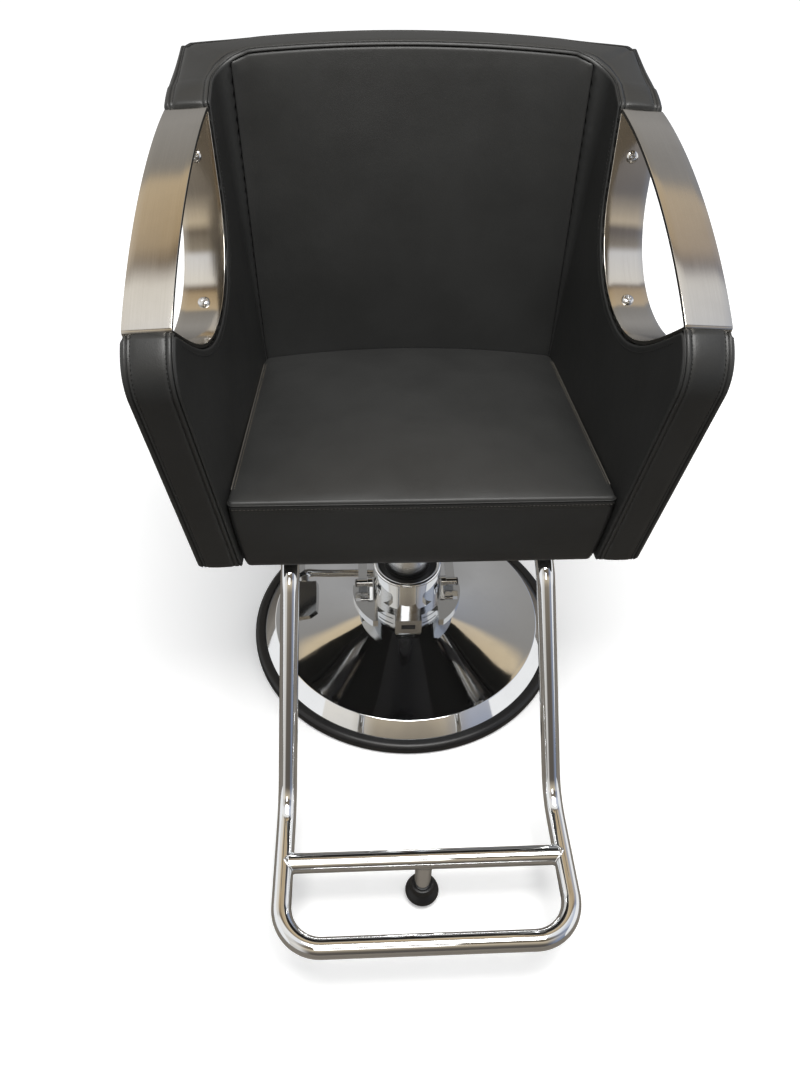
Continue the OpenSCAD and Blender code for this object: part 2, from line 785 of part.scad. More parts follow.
module arm_bolt_holes(side) {
    arm_bolt_places(side) translate([0, 0, -over])
        cylinder(d = arm_bolt_d + bolt_gap, h = strap_t + 3 * over);
}

module arm_bolts() {
    head_z = strap_t + 2 * rest_gap;
    color("gainsboro") for (side = [-1, 1]) arm_bolt_places(side) {
        translate([0, 0, -arm_bolt_l]) cylinder(d = arm_bolt_d, h = arm_bolt_l + head_z);
        translate([0, 0, head_z]) difference() {
            cylinder(d = arm_bolt_head, h = arm_bolt_head_h);
            for (turn = [0, 90]) rotate(turn)
                translate([-arm_bolt_head / 4, -arm_bolt_slot / 2, arm_bolt_head_h / 2])
                    cube([arm_bolt_head / 2, arm_bolt_slot, arm_bolt_head_h]);
        }
    }
}

// Footrest

// Tube through the corner points, with a round bend of its own radius at each inner corner.
// The straight lengths are a hair thinner than the bends, which take their ends in.
module tube_run(corners, r, hollow, bends) {
    last = len(corners) - 1;
    for (i = [0 : last - 1]) {
        way = unit(corners[i + 1] - corners[i]);
        from = corners[i] + (i == 0 ? 0 : tangent(corners, i, bends[i]) - bend_in) * way;
        to = corners[i + 1] - (i == last - 1 ? 0 : tangent(corners, i + 1, bends[i + 1]) - bend_in) * way;
        along(from, to) {
            if (hollow > 0) tube(r - bend_step, hollow + bend_step, norm(to - from));
            else cylinder(r = r - bend_step, h = norm(to - from));
        }
    }
    for (i = [1 : last - 1]) tube_bend(corners, i, r, hollow, bends[i]);
}

function turn_at(c, i) = acos(unit(c[i] - c[i - 1]) * unit(c[i + 1] - c[i]));
function tangent(c, i, bend) = bend * tan(turn_at(c, i) / 2);

module along(from, to) {
    way = unit(to - from);
    translate(from) rotate([0, acos(way[2]), atan2(way[1], way[0])]) children();
}

module tube_bend(c, i, r, hollow, bend) {
    way_in = unit(c[i] - c[i - 1]);
    axis = unit(cross(way_in, unit(c[i + 1] - c[i])));
    inward = cross(axis, way_in);
    centre = c[i] - tangent(c, i, bend) * way_in + bend * inward;
    multmatrix([
        [-inward[0], way_in[0], axis[0], centre[0]],
        [-inward[1], way_in[1], axis[1], centre[1]],
        [-inward[2], way_in[2], axis[2], centre[2]],
        [0, 0, 0, 1]])
        rotate_extrude(angle = turn_at(c, i)) translate([bend, 0]) difference() {
            circle(r);
            if (hollow > 0) circle(hollow);
        }
}

half_foot = foot_w / 2;
half_leg = leg_w / 2;
function flipped(p) = [-p[0], p[1], p[2]];
side_corners = [[half_leg, leg_back, run_z], [half_leg, -leg_y, run_z], [half_foot, -knee_y, foot_z],
    [half_foot, -foot_front, foot_z]];
side_bends = [0, bend_r, bend_r, corner_r];

// The two legs and the front are one bent tube
module footrest_tube() {
    color("silver") tube_run(concat(side_corners, [for (p = reversed(side_corners)) flipped(p)]), tube_r,
        tube_r - tube_wall, concat(side_bends, reversed(side_bends)));
}

module footrest_crossbar() {
    color("silver") difference() {
        along([-half_foot, -cross_y, foot_z], [half_foot, -cross_y, foot_z])
            tube(tube_r, tube_r - tube_wall, foot_w);
        both_sides() along([half_foot, -cross_y - tube_d, foot_z], [half_foot, -cross_y + tube_d, foot_z])
            cylinder(r = tube_r, h = 2 * tube_d);
    }
}

module footrest_post() {
    low = bell_gap + bell_h / 2;
    color("silver") difference() {
        translate([0, -cross_y, low]) cylinder(d = post_d, h = foot_z - low);
        along([-half_foot, -cross_y, foot_z], [half_foot, -cross_y, foot_z])
            cylinder(r = tube_r, h = foot_w);
    }
}

module post_foot() {
    bell_r = bell_d / 2;
    neck_r = bell_neck_d / 2;
    color("black") translate([0, -cross_y, bell_gap]) difference() {
        rotate_extrude() polygon([[0, 0], [bell_out_shares[0] * bell_r, 0],
            [bell_r, bell_up_shares[0] * bell_h], [bell_out_shares[1] * bell_r, bell_up_shares[1] * bell_h],
            [bell_out_shares[2] * neck_r, bell_up_shares[2] * bell_h], [neck_r, bell_h], [0, bell_h]]);
        translate([0, 0, bell_h / 2]) cylinder(d = post_d, h = bell_h);
    }
}

module clamp_places() {
    both_sides() for (y = [-clamp_front, clamp_rear]) translate([half_leg, y, run_z]) children();
}

// Saddles that hold the footrest's tubes against the seat board
module footrest_clamps() {
    ear_x = tube_r + clamp_ear;
    color("dimgray") clamp_places() difference() {
        union() {
            rotate([90, 0, 0]) translate([0, 0, -clamp_l / 2]) cylinder(r = tube_r + clamp_t, h = clamp_l);
            translate([-tube_r - clamp_t, -clamp_l / 2, 0]) cube([tube_d + 2 * clamp_t, clamp_l, tube_r]);
            translate([-ear_x, -clamp_l / 2, tube_r - clamp_t]) cube([2 * ear_x, clamp_l, clamp_t]);
        }
        rotate([90, 0, 0]) translate([0, 0, -clamp_l]) cylinder(r = tube_r, h = 2 * clamp_l);
        translate([-ear_x, -clamp_l, tube_r]) cube([2 * ear_x, 2 * clamp_l, tube_d]);
        translate([-tube_r, -clamp_l, 0]) cube([tube_d, 2 * clamp_l, tube_d]);
        clamp_screw_places() translate([0, 0, tube_r - clamp_t - over])
            cylinder(d = screw_d + bolt_gap, h = clamp_t + 2 * over);
    }
}

module clamp_screw_places() {
    for (x = [-1, 1]) translate([x * (tube_r + clamp_t + screw_head_d / 2), 0, 0]) children();
}

module clamp_screws() {
    color("gray") clamp_places() clamp_screw_places() {
        translate([0, 0, tube_r - clamp_t - screw_head_h])
            cylinder(d = screw_head_d, h = screw_head_h, $fn = 6);
        translate([0, 0, tube_r - clamp_t]) cylinder(d = screw_d, h = clamp_t);
    }
}

module tube_plugs() {
    color("black") both_sides() translate([half_leg, leg_back, run_z]) rotate([-90, 0, 0]) {
        cylinder(r = tube_r, h = plug_t);
        translate([0, 0, -plug_in]) cylinder(r = tube_r - tube_wall, h = plug_in);
    }
}

base_plate();
base_cover();
rim_ring();
pump_foot();
foot_bolts();
pump_jacket();
wiper_ring();
oil_cylinder();
rod_gland();
pump_collar();
collar_bolts();
boss_plug();
pivot_pins();
pin_clips();
pedal_yoke();
pedal_lever();
pedal_pad();
piston_rod();
piston_head();
ram_sleeve();
ram_cap();
thrust_washer();
swivel_hub();
mount_plate();
mount_bolts();
seat_board();
seat_cushion();
side_panel(-1);  // left_side_panel
side_panel(1);  // right_side_panel
arm_strap(-1);  // left_arm_strap
arm_strap(1);  // right_arm_strap
arm_bolts();
back_shell();
back_cushion();
footrest_tube();
footrest_crossbar();
footrest_post();
post_foot();
footrest_clamps();
clamp_screws();
tube_plugs();
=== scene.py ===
"""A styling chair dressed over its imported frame: upholstery, strap armrests, pump, footrest and studio."""

import sys

import logging
import math
from dataclasses import dataclass, field
from enum import Enum
from typing import Any, Callable, Optional, Sequence, Union

import bmesh
import bpy
import numpy as np
from mathutils import Matrix, Vector
from mathutils.geometry import delaunay_2d_cdt


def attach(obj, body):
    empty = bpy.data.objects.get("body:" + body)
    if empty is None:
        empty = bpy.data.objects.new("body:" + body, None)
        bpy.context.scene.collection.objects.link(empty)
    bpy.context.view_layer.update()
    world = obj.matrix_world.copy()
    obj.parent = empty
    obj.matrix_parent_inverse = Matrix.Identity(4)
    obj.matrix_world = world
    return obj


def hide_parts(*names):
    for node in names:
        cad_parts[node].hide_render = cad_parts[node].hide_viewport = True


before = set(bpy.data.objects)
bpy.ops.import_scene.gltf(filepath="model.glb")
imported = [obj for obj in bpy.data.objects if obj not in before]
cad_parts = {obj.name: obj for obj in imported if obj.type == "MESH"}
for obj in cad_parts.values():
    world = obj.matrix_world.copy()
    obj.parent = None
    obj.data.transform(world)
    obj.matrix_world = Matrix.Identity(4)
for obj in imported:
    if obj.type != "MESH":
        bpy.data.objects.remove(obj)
LOG = logging.getLogger("chair")
MM = 0.001
Array = np.ndarray
Colour = tuple[float, float, float]
MIRROR = np.array([-1.0, 1.0, 1.0])


class Body(Enum):
    """The bodies of the frame that a piece can ride on."""

    BASE = "base"
    PEDAL = "pedal"
    RAM = "ram"
    SEAT = "seat"


# Shader toolkit


class Wire:
    """A shader value that takes part in plain arithmetic."""

    def __init__(self, graph: "Graph", socket: Optional[bpy.types.NodeSocket]) -> None:
        """Keeps the graph and the socket that gives the value."""
        self.graph = graph
        self.socket = socket

    def _maths(self, operation: str, left: Any, right: Any) -> "Wire":
        """Adds one Math node and gives its result."""
        return self.graph.node("ShaderNodeMath", {"operation": operation}, {0: left, 1: right})

    def __add__(self, other: Any) -> "Wire":
        """Sum."""
        return self._maths("ADD", self, other)

    def __radd__(self, other: Any) -> "Wire":
        """Sum with the number first."""
        return self._maths("ADD", other, self)

    def __sub__(self, other: Any) -> "Wire":
        """Difference."""
        return self._maths("SUBTRACT", self, other)

    def __rsub__(self, other: Any) -> "Wire":
        """Difference with the number first."""
        return self._maths("SUBTRACT", other, self)

    def __mul__(self, other: Any) -> "Wire":
        """Product."""
        return self._maths("MULTIPLY", self, other)

    def __rmul__(self, other: Any) -> "Wire":
        """Product with the number first."""
        return self._maths("MULTIPLY", other, self)

    def or_more(self, other: Any) -> "Wire":
        """The larger of the two."""
        return self._maths("MAXIMUM", self, other)

    def turn_over(self, other: Any) -> "Wire":
        """The angle whose tangent is this value over the other, in radians."""
        return self._maths("ARCTAN2", self, other)

    def between(self, low: float, high: float) -> "Wire":
        """Rises smoothly from 0 at low to 1 at high.

        Args:
            low: Where it starts to rise.
            high: Where it has risen.

        Returns:
            A wire from 0 to 1.
        """
        return self.graph.node(
            "ShaderNodeMapRange",
            {"interpolation_type": "SMOOTHSTEP"},
            {"Value": self, "From Min": low, "From Max": high},
        )


class Graph:
    """The node tree of one material, or of the world, while it is being built."""

    def __init__(self, owner: Union[bpy.types.Material, bpy.types.World]) -> None:
        """Starts the owner's tree, empty.

        Args:
            owner: The material or the world.
        """
        owner.use_nodes = True
        self.owner = owner
        self.tree = owner.node_tree
        self.tree.nodes.clear()

    def node(
        self,
        kind: str,
        settings: Optional[dict[str, Any]] = None,
        sockets: Optional[dict[Union[str, int], Any]] = None,
        result: Union[str, int] = 0,
    ) -> Wire:
        """Adds a node.

        Args:
            kind: The node's type.
            settings: Its properties, or stops for a ramp's places and colours, which are set first.
            sockets: Values or wires for its inputs.
            result: The output that is wanted.

        Returns:
            A wire from that output, or an empty one from a node that ends the tree.
        """
        made = self.tree.nodes.new(kind)
        for name, value in (settings or {}).items():
            if name == "stops":
                ramp = made.color_ramp
                for spare in list(ramp.elements)[1:]:
                    ramp.elements.remove(spare)
                for index, (place, colour) in enumerate(value):
                    stop = ramp.elements[0] if index == 0 else ramp.elements.new(place)
                    stop.position = place
                    stop.color = (*colour, 1.0)
            else:
                setattr(made, name, value)
        for name, value in (sockets or {}).items():
            socket = made.inputs[name]
            if isinstance(value, Wire):
                self.tree.links.new(value.socket, socket)
            elif socket.type == "RGBA" and len(value) == 3:
                socket.default_value = (*value, 1.0)
            else:
                socket.default_value = value
        return Wire(self, made.outputs[result] if len(made.outputs) else None)

    def place(self) -> Wire:
        """The point on the object, in metres."""
        return self.node("ShaderNodeTexCoord", {}, {}, "Object")

    def painted(self, name: str, result: str = "Fac") -> Wire:
        """A value that the mesh carries at its vertices."""
        return self.node("ShaderNodeAttribute", {"attribute_name": name}, {}, result)

    def stretched(self, vector: Wire, by: Colour) -> Wire:
        """The vector with each axis multiplied by a number."""
        return self.node("ShaderNodeVectorMath", {"operation": "MULTIPLY"}, {0: vector, 1: by})

    def noise(self, vector: Wire, scale: float, detail: float = 2.0, rough: float = 0.5) -> Wire:
        """Soft noise from 0 to 1."""
        sockets = {"Vector": vector, "Scale": scale, "Detail": detail, "Roughness": rough}
        return self.node("ShaderNodeTexNoise", {}, sockets)

    def cells(self, vector: Wire, scale: float) -> Wire:
        """Distance from the middle of the nearest cell."""
        sockets = {"Vector": vector, "Scale": scale}
        return self.node("ShaderNodeTexVoronoi", {"feature": "SMOOTH_F1"}, sockets, "Distance")

    def blend(self, share: Any, first: Any, second: Any) -> Wire:
        """A mix of two colours."""
        return self.node("ShaderNodeMix", {"data_type": "RGBA"}, {0: share, 6: first, 7: second}, 2)

    def axis(self, vector: Wire, number: int) -> Wire:
        """One part of a vector: 0, 1 or 2 for x, y or z."""
        return self.node("ShaderNodeSeparateXYZ", {}, {0: vector}, number)

    def bump(self, height: Wire, distance: float, strength: float = 1.0, onto: Optional[Wire] = None) -> Wire:
        """A normal that shows the height, on top of another one if there is one.

        Args:
            height: The height to show, as a wire.
            distance: What a height of one stands for, in metres.
            strength: How strongly it shows.
            onto: The normal below it.

        Returns:
            The normal, as a wire.
        """
        sockets: dict[Union[str, int], Any] = {"Height": height, "Distance": distance, "Strength": strength}
        if onto is not None:
            sockets["Normal"] = onto
        return self.node("ShaderNodeBump", {}, sockets)

    def close(self, **sockets: Any) -> bpy.types.Material:
        """Ends the tree with a Principled shader.

        Args:
            sockets: Its inputs, with underscores for the spaces in their names.

        Returns:
            The finished material.
        """
        named = {name.replace("_", " "): value for name, value in sockets.items()}
        shader = self.node("ShaderNodeBsdfPrincipled", {}, named)
        self.node("ShaderNodeOutputMaterial", {}, {"Surface": shader})
        return self.owner


# Finishes


@dataclass(frozen=True)
class Finish:
    """A surface finish: its name, the record's slot that it belongs to, and its main colour."""

    name: str
    slot: str
    colour: Colour

    def material(self) -> bpy.types.Material:
        """The material, made on first use."""
        return bpy.data.materials.get(self.name) or self.paint(Graph(bpy.data.materials.new(self.name)))

    def paint(self, graph: Graph) -> bpy.types.Material:
        """Builds the nodes."""
        raise NotImplementedError

    def lighter(self, by: float) -> Colour:
        """The main colour multiplied by a number."""
        return tuple(min(1.0, part * by) for part in self.colour)


@dataclass(frozen=True)
class Leatherette(Finish):
    """Black coated upholstery fabric with a fine pebbled grain, painted shade in its seam grooves, and lighter rubbed
    edges that are partly wear and partly painted sheen.
    """

    roughness: float = 0.42

    def paint(self, graph: Graph) -> bpy.types.Material:
        """Grain, soft unevenness, painted shade in the seam grooves, and edges lightened partly for wear and partly
        as painted sheen.

        Args:
            graph: The empty tree of the material.

        Returns:
            The finished material.
        """
        place = graph.place()
        pebble = graph.cells(place, 720.0)
        fine = graph.noise(place, 2100.0, 3.0)
        broad = graph.noise(place, 11.0, 3.0)
        seam = graph.painted("seam")
        wear_and_sheen = graph.painted("wear_and_sheen")
        tone = (broad * 0.8 + pebble * 0.3).between(0.2, 0.9)
        base = graph.blend(tone, self.lighter(0.84), self.lighter(1.14))
        # Rubbed edges made lighter: partly wear, partly painted sheen.
        base = graph.blend(wear_and_sheen * 0.35, base, self.lighter(1.8))
        # Painted shade: the bottoms of the seam grooves are darkened.
        base = graph.blend(seam * 0.75, base, self.lighter(0.2))
        rough = broad * 0.1 + pebble * 0.08 + seam * 0.2 - wear_and_sheen * 0.06 + (self.roughness - 0.09)
        soft = graph.bump(graph.noise(place, 26.0, 2.0), 0.0022, 0.25)
        normal = graph.bump(pebble * 0.7 + fine * 0.3, 0.00022, 0.55, soft)
        return graph.close(Base_Color=base, Roughness=rough, Normal=normal, Specular_IOR_Level=0.3)


@dataclass(frozen=True)
class StrapSteel(Finish):
    """Stainless strap with a fine grain along its length, from the painted run of each vertex."""

    roughness: float = 0.1

    def paint(self, graph: Graph) -> bpy.types.Material:
        """Long fine scratches, wide bands and faint smudges.

        Args:
            graph: The empty tree of the material.

        Returns:
            The finished material.
        """
        run = graph.painted("grain", "Vector")
        lines = graph.noise(graph.stretched(run, (9.0, 1600.0, 300.0)), 1.0, 3.0, 0.6)
        bands = graph.noise(graph.stretched(run, (3.0, 160.0, 30.0)), 1.0, 2.0)
        smudge = graph.noise(graph.place(), 17.0, 3.0)
        base = graph.blend(lines, self.lighter(0.9), self.lighter(1.08))
        base = graph.blend(smudge.between(0.45, 0.75) * 0.3, base, self.lighter(0.82))
        rough = lines * 0.07 + bands * 0.05 + smudge * 0.06 + (self.roughness - 0.07)
        normal = graph.bump(lines * 0.8 + bands * 0.2, 0.00004, 0.6)
        return graph.close(Base_Color=base, Metallic=1.0, Roughness=rough, Normal=normal)


@dataclass(frozen=True)
class Chrome(Finish):
    """Bright plating with faint smudges and a trace of waviness under it."""

    roughness: float = 0.045
    wave: float = 0.12

    def paint(self, graph: Graph) -> bpy.types.Material:
        """Smudges and slow waves.

        Args:
            graph: The empty tree of the material.

        Returns:
            The finished material.
        """
        place = graph.place()
        smudge = graph.noise(place, 24.0, 4.0, 0.6)
        dust = graph.noise(place, 420.0, 2.0)
        base = graph.blend(smudge.between(0.4, 0.8) * 0.25, self.colour, self.lighter(0.86))
        rough = smudge.between(0.42, 0.8) * 0.05 + dust.between(0.66, 0.8) * 0.08 + self.roughness
        normal = graph.bump(graph.noise(place, 9.0, 1.0), 0.002, self.wave)
        return graph.close(Base_Color=base, Metallic=1.0, Roughness=rough, Normal=normal)


@dataclass(frozen=True)
class TurnedMetal(Finish):
    """Metal turned or drawn round the pump's axis: fine rings, and patches of oil or a darker bloom."""

    rings: Colour = (14.0, 14.0, 2600.0)
    patch: float = 21.0
    bloom: Optional[Colour] = None
    roughness: float = 0.14

    def paint(self, graph: Graph) -> bpy.types.Material:
        """Rings up the axis and a patchy sheen.

        Args:
            graph: The empty tree of the material.

        Returns:
            The finished material.
        """
        place = graph.place()
        rings = graph.noise(graph.stretched(place, self.rings), 1.0, 2.0)
        patch = graph.noise(place, self.patch, 3.0)
        base = graph.blend(rings, self.lighter(0.9), self.lighter(1.05))
        if self.bloom is not None:
            patch = patch.between(0.5, 0.8)
            base = graph.blend(patch * 0.5, base, self.bloom)
        rough = rings * 0.1 + patch * 0.12 + self.roughness
        normal = graph.bump(rings, 0.00003, 0.7)
        return graph.close(Base_Color=base, Metallic=1.0, Roughness=rough, Normal=normal)


@dataclass(frozen=True)
class CastMetal(Finish):
    """Plated casting: bright, with the slight orange peel of the metal below."""

    roughness: float = 0.11

    def paint(self, graph: Graph) -> bpy.types.Material:
        """Orange peel, pits and smudges.

        Args:
            graph: The empty tree of the material.

        Returns:
            The finished material.
        """
        place = graph.place()
        peel = graph.noise(place, 260.0, 2.0)
        pit = graph.noise(place, 900.0, 1.0).between(0.66, 0.74)
        smudge = graph.noise(place, 30.0, 3.0)
        base = graph.blend(pit * 0.5 + smudge * 0.2, self.colour, self.lighter(0.7))
        rough = smudge * 0.1 + peel * 0.05 + (self.roughness - 0.07)
        normal = graph.bump(peel - pit * 0.5, 0.00012, 0.45)
        return graph.close(Base_Color=base, Metallic=1.0, Roughness=rough, Normal=normal)


@dataclass(frozen=True)
class PaintedSteel(Finish):
    """Pressed steel under a thin black paint, chipped here and there."""

    def paint(self, graph: Graph) -> bpy.types.Material:
        """Paint texture and small chips to the metal.

        Args:
            graph: The empty tree of the material.

        Returns:
            The finished material.
        """
        place = graph.place()
        skin = graph.noise(place, 340.0, 3.0)
        chip = graph.noise(place, 130.0, 4.0, 0.7).between(0.7, 0.74)
        base = graph.blend(chip, graph.blend(skin, self.lighter(0.8), self.lighter(1.25)), (0.3, 0.29, 0.28))
        rough = skin * 0.2 + chip * 0.1 + 0.36
        normal = graph.bump(skin - chip * 0.6, 0.0001, 0.5)
        return graph.close(Base_Color=base, Metallic=chip, Roughness=rough, Normal=normal)


@dataclass(frozen=True)
class Rubber(Finish):
    """Moulded black rubber with a dull bloom and dust in its texture."""

    roughness: float = 0.5

    def paint(self, graph: Graph) -> bpy.types.Material:
        """Fine texture, bloom and dust.

        Args:
            graph: The empty tree of the material.

        Returns:
            The finished material.
        """
        place = graph.place()
        fine = graph.noise(place, 850.0, 3.0)
        bloom = graph.noise(place, 19.0, 3.0)
        dust = graph.noise(place, 240.0, 3.0, 0.7).between(0.62, 0.8)
        base = graph.blend(bloom, self.lighter(0.75), self.lighter(1.35))
        base = graph.blend(dust * 0.25, base, (0.16, 0.15, 0.14))
        rough = fine * 0.14 + bloom * 0.1 + (self.roughness - 0.12)
        return graph.close(
            Base_Color=base, Roughness=rough, Normal=graph.bump(fine, 0.00012, 0.5), Specular_IOR_Level=0.4
        )


@dataclass(frozen=True)
class Thread(Finish):
    """Twisted polyester sewing thread."""

    def paint(self, graph: Graph) -> bpy.types.Material:
        """Twist and slight fading.

        Args:
            graph: The empty tree of the material.

        Returns:
            The finished material.
        """
        place = graph.place()
        twist = graph.noise(place, 2600.0, 2.0)
        fade = graph.noise(place, 40.0, 2.0)
        base = graph.blend(twist * 0.6 + fade * 0.4, self.lighter(0.6), self.lighter(1.5))
        return graph.close(Base_Color=base, Roughness=twist * 0.2 + 0.4, Normal=graph.bump(twist, 0.0001, 0.6))


@dataclass(frozen=True)
class DustCover(Finish):
    """Plywood seat board with a black non-woven dust cover stapled under it."""

    def paint(self, graph: Graph) -> bpy.types.Material:
        """Plies on the edges, cloth on the face that looks down.

        Args:
            graph: The empty tree of the material.

        Returns:
            The finished material.
        """
        place = graph.place()
        facing = graph.node("ShaderNodeNewGeometry", {}, {}, "Normal")
        down = graph.axis(facing, 2) * -1.0
        cloth = down.between(0.3, 0.7)
        plies = graph.noise(graph.stretched(place, (8.0, 8.0, 520.0)), 1.0, 2.0)
        grain = graph.noise(graph.stretched(place, (160.0, 9.0, 160.0)), 1.0, 4.0)
        wood = graph.blend(plies * 0.6 + grain * 0.4, self.lighter(0.7), self.lighter(1.25))
        fibre = graph.noise(place, 1300.0, 3.0)
        felt = graph.blend(fibre, (0.008, 0.008, 0.008), (0.03, 0.03, 0.03))
        base = graph.blend(cloth, wood, felt)
        rough = cloth * 0.22 + grain * 0.12 + 0.58
        normal = graph.bump(grain + fibre * cloth, 0.00015, 0.6)
        return graph.close(Base_Color=base, Roughness=rough, Normal=normal)


@dataclass(frozen=True)
class Palette:
    """Every finish of the chair."""

    leather: Finish = Leatherette("black leatherette", "leatherette", (0.0265, 0.0268, 0.0262))
    strap: Finish = StrapSteel("brushed strap", "strap_steel", (0.66, 0.625, 0.57))
    chrome: Finish = Chrome("bright chrome", "chrome", (0.80, 0.81, 0.82))
    sleeve: Finish = TurnedMetal("drawn sleeve", "sleeve_steel", (0.68, 0.69, 0.70))
    casting: Finish = CastMetal("plated casting", "cast_metal", (0.62, 0.63, 0.64))
    paint: Finish = PaintedSteel("black painted steel", "plate_steel", (0.035, 0.035, 0.038))
    plain: Finish = TurnedMetal(
        "plain steel", "plain_steel", (0.48, 0.47, 0.46), (60.0, 60.0, 900.0), 34.0, (0.2, 0.15, 0.1), 0.22
    )
    fastener: Finish = Chrome("plated fastener", "bright_fastener", (0.72, 0.72, 0.72), 0.12, 0.05)
    bronze: Finish = TurnedMetal(
        "bearing bronze", "bronze", (0.60, 0.40, 0.20), (20.0, 20.0, 1800.0), 60.0, (0.21, 0.14, 0.07), 0.25
    )
    rubber: Finish = Rubber("black rubber", "black_rubber", (0.009, 0.009, 0.0095), 0.4)
    plastic: Finish = Rubber("black plastic", "black_plastic", (0.02, 0.02, 0.022), 0.38)
    board: Finish = DustCover("seat board", "plywood", (0.42, 0.29, 0.17))
    thread: Finish = Thread("black thread", "leatherette", (0.005, 0.005, 0.005))
    # Lighter leather for the seat's edging cord: a painted highlight along the rolled side edge.
    edging: Finish = Leatherette("highlight edging", "leatherette", (0.085, 0.078, 0.068), 0.36)
    seam_thread: Finish = Thread("seam thread", "leatherette", (0.085, 0.08, 0.07))
    # Pale thread: partly the thread's colour, partly painted glints along the seat's side stitches.
    pale_thread: Finish = Thread("pale glint thread", "leatherette", (0.26, 0.22, 0.16))


PALETTE = Palette()


# Lines and meshes


def unit(vectors: Array) -> Array:
    """Vectors of length one, along the last axis."""
    return vectors / np.maximum(np.linalg.norm(vectors, axis=-1, keepdims=True), 1e-12)


def smooth_step(values: Array, low: float, high: float) -> Array:
    """Rises smoothly from 0 at low to 1 at high."""
    share = np.clip((np.asarray(values, float) - low) / (high - low), 0.0, 1.0)
    return share * share * (3.0 - 2.0 * share)


def bezier(pulls: Sequence[Sequence[float]], count: int) -> Array:
    """Points of a cubic curve from its four control points, both ends included.

    Args:
        pulls: The control points, in order.
        count: How many points are wanted.

    Returns:
        The points.
    """
    t = np.linspace(0.0, 1.0, count)[:, None]
    p = np.asarray(pulls, float)
    return (1 - t) ** 3 * p[0] + 3 * (1 - t) ** 2 * t * p[1] + 3 * (1 - t) * t**2 * p[2] + t**3 * p[3]


def lengths(line: Array) -> Array:
    """Distance along a line at each of its points."""
    return np.concatenate([[0.0], np.cumsum(np.linalg.norm(np.diff(line, axis=0), axis=1))])


def resampled(line: Array, spacing: float) -> Array:
    """The line with points at an even spacing close to the given one.

    Args:
        line: The line's points.
        spacing: The distance wanted between points.

    Returns:
        The new points.
    """
    along = lengths(line)
    count = max(2, int(round(along[-1] / spacing)) + 1)
    at = np.linspace(0.0, along[-1], count)
    return np.stack([np.interp(at, along, line[:, axis]) for axis in range(line.shape[1])], axis=1)


def filled(line: Array, spacing: float) -> Array:
    """The line with long gaps filled in, and its own points kept.

    Args:
        line: The line's points.
        spacing: The distance wanted between points.

    Returns:
        The line with the added points.
    """
    points = [line[0]]
    for a, b in zip(line, line[1:]):
        count = max(1, int(round(np.linalg.norm(b - a) / spacing)))
        points.extend(a + (b - a) * (i + 1) / count for i in range(count))
    return np.array(points)


def rounded(corners: Sequence[Sequence[float]], radii: Sequence[float], turn: float = 0.12) -> Array:
    """An open line with an arc at each inner corner.

    Args:
        corners: The line's corners, in two or three dimensions.
        radii: The radius at each corner; the first and last aren't used.
        turn: The largest turn between two points of an arc, in radians.

    Returns:
        The points of the line.
    """
    p = [np.asarray(c, float) for c in corners]
    points = [p[0]]
    for before, corner, after, radius in zip(p, p[1:], p[2:], radii[1:]):
        way_in, way_out = unit(corner - before), unit(after - corner)
        angle = math.acos(float(np.clip(way_in @ way_out, -1.0, 1.0)))
        if angle < 1e-4 or radius <= 0.0:
            points.append(corner)
            continue
        inward = unit(way_out - (way_out @ way_in) * way_in)
        start = corner - radius * math.tan(angle / 2) * way_in
        for a in np.linspace(0.0, angle, max(3, int(angle / turn) + 2)):
            points.append(start + radius * (math.sin(a) * way_in + (1 - math.cos(a)) * inward))
    points.append(p[-1])
    return np.array(points)


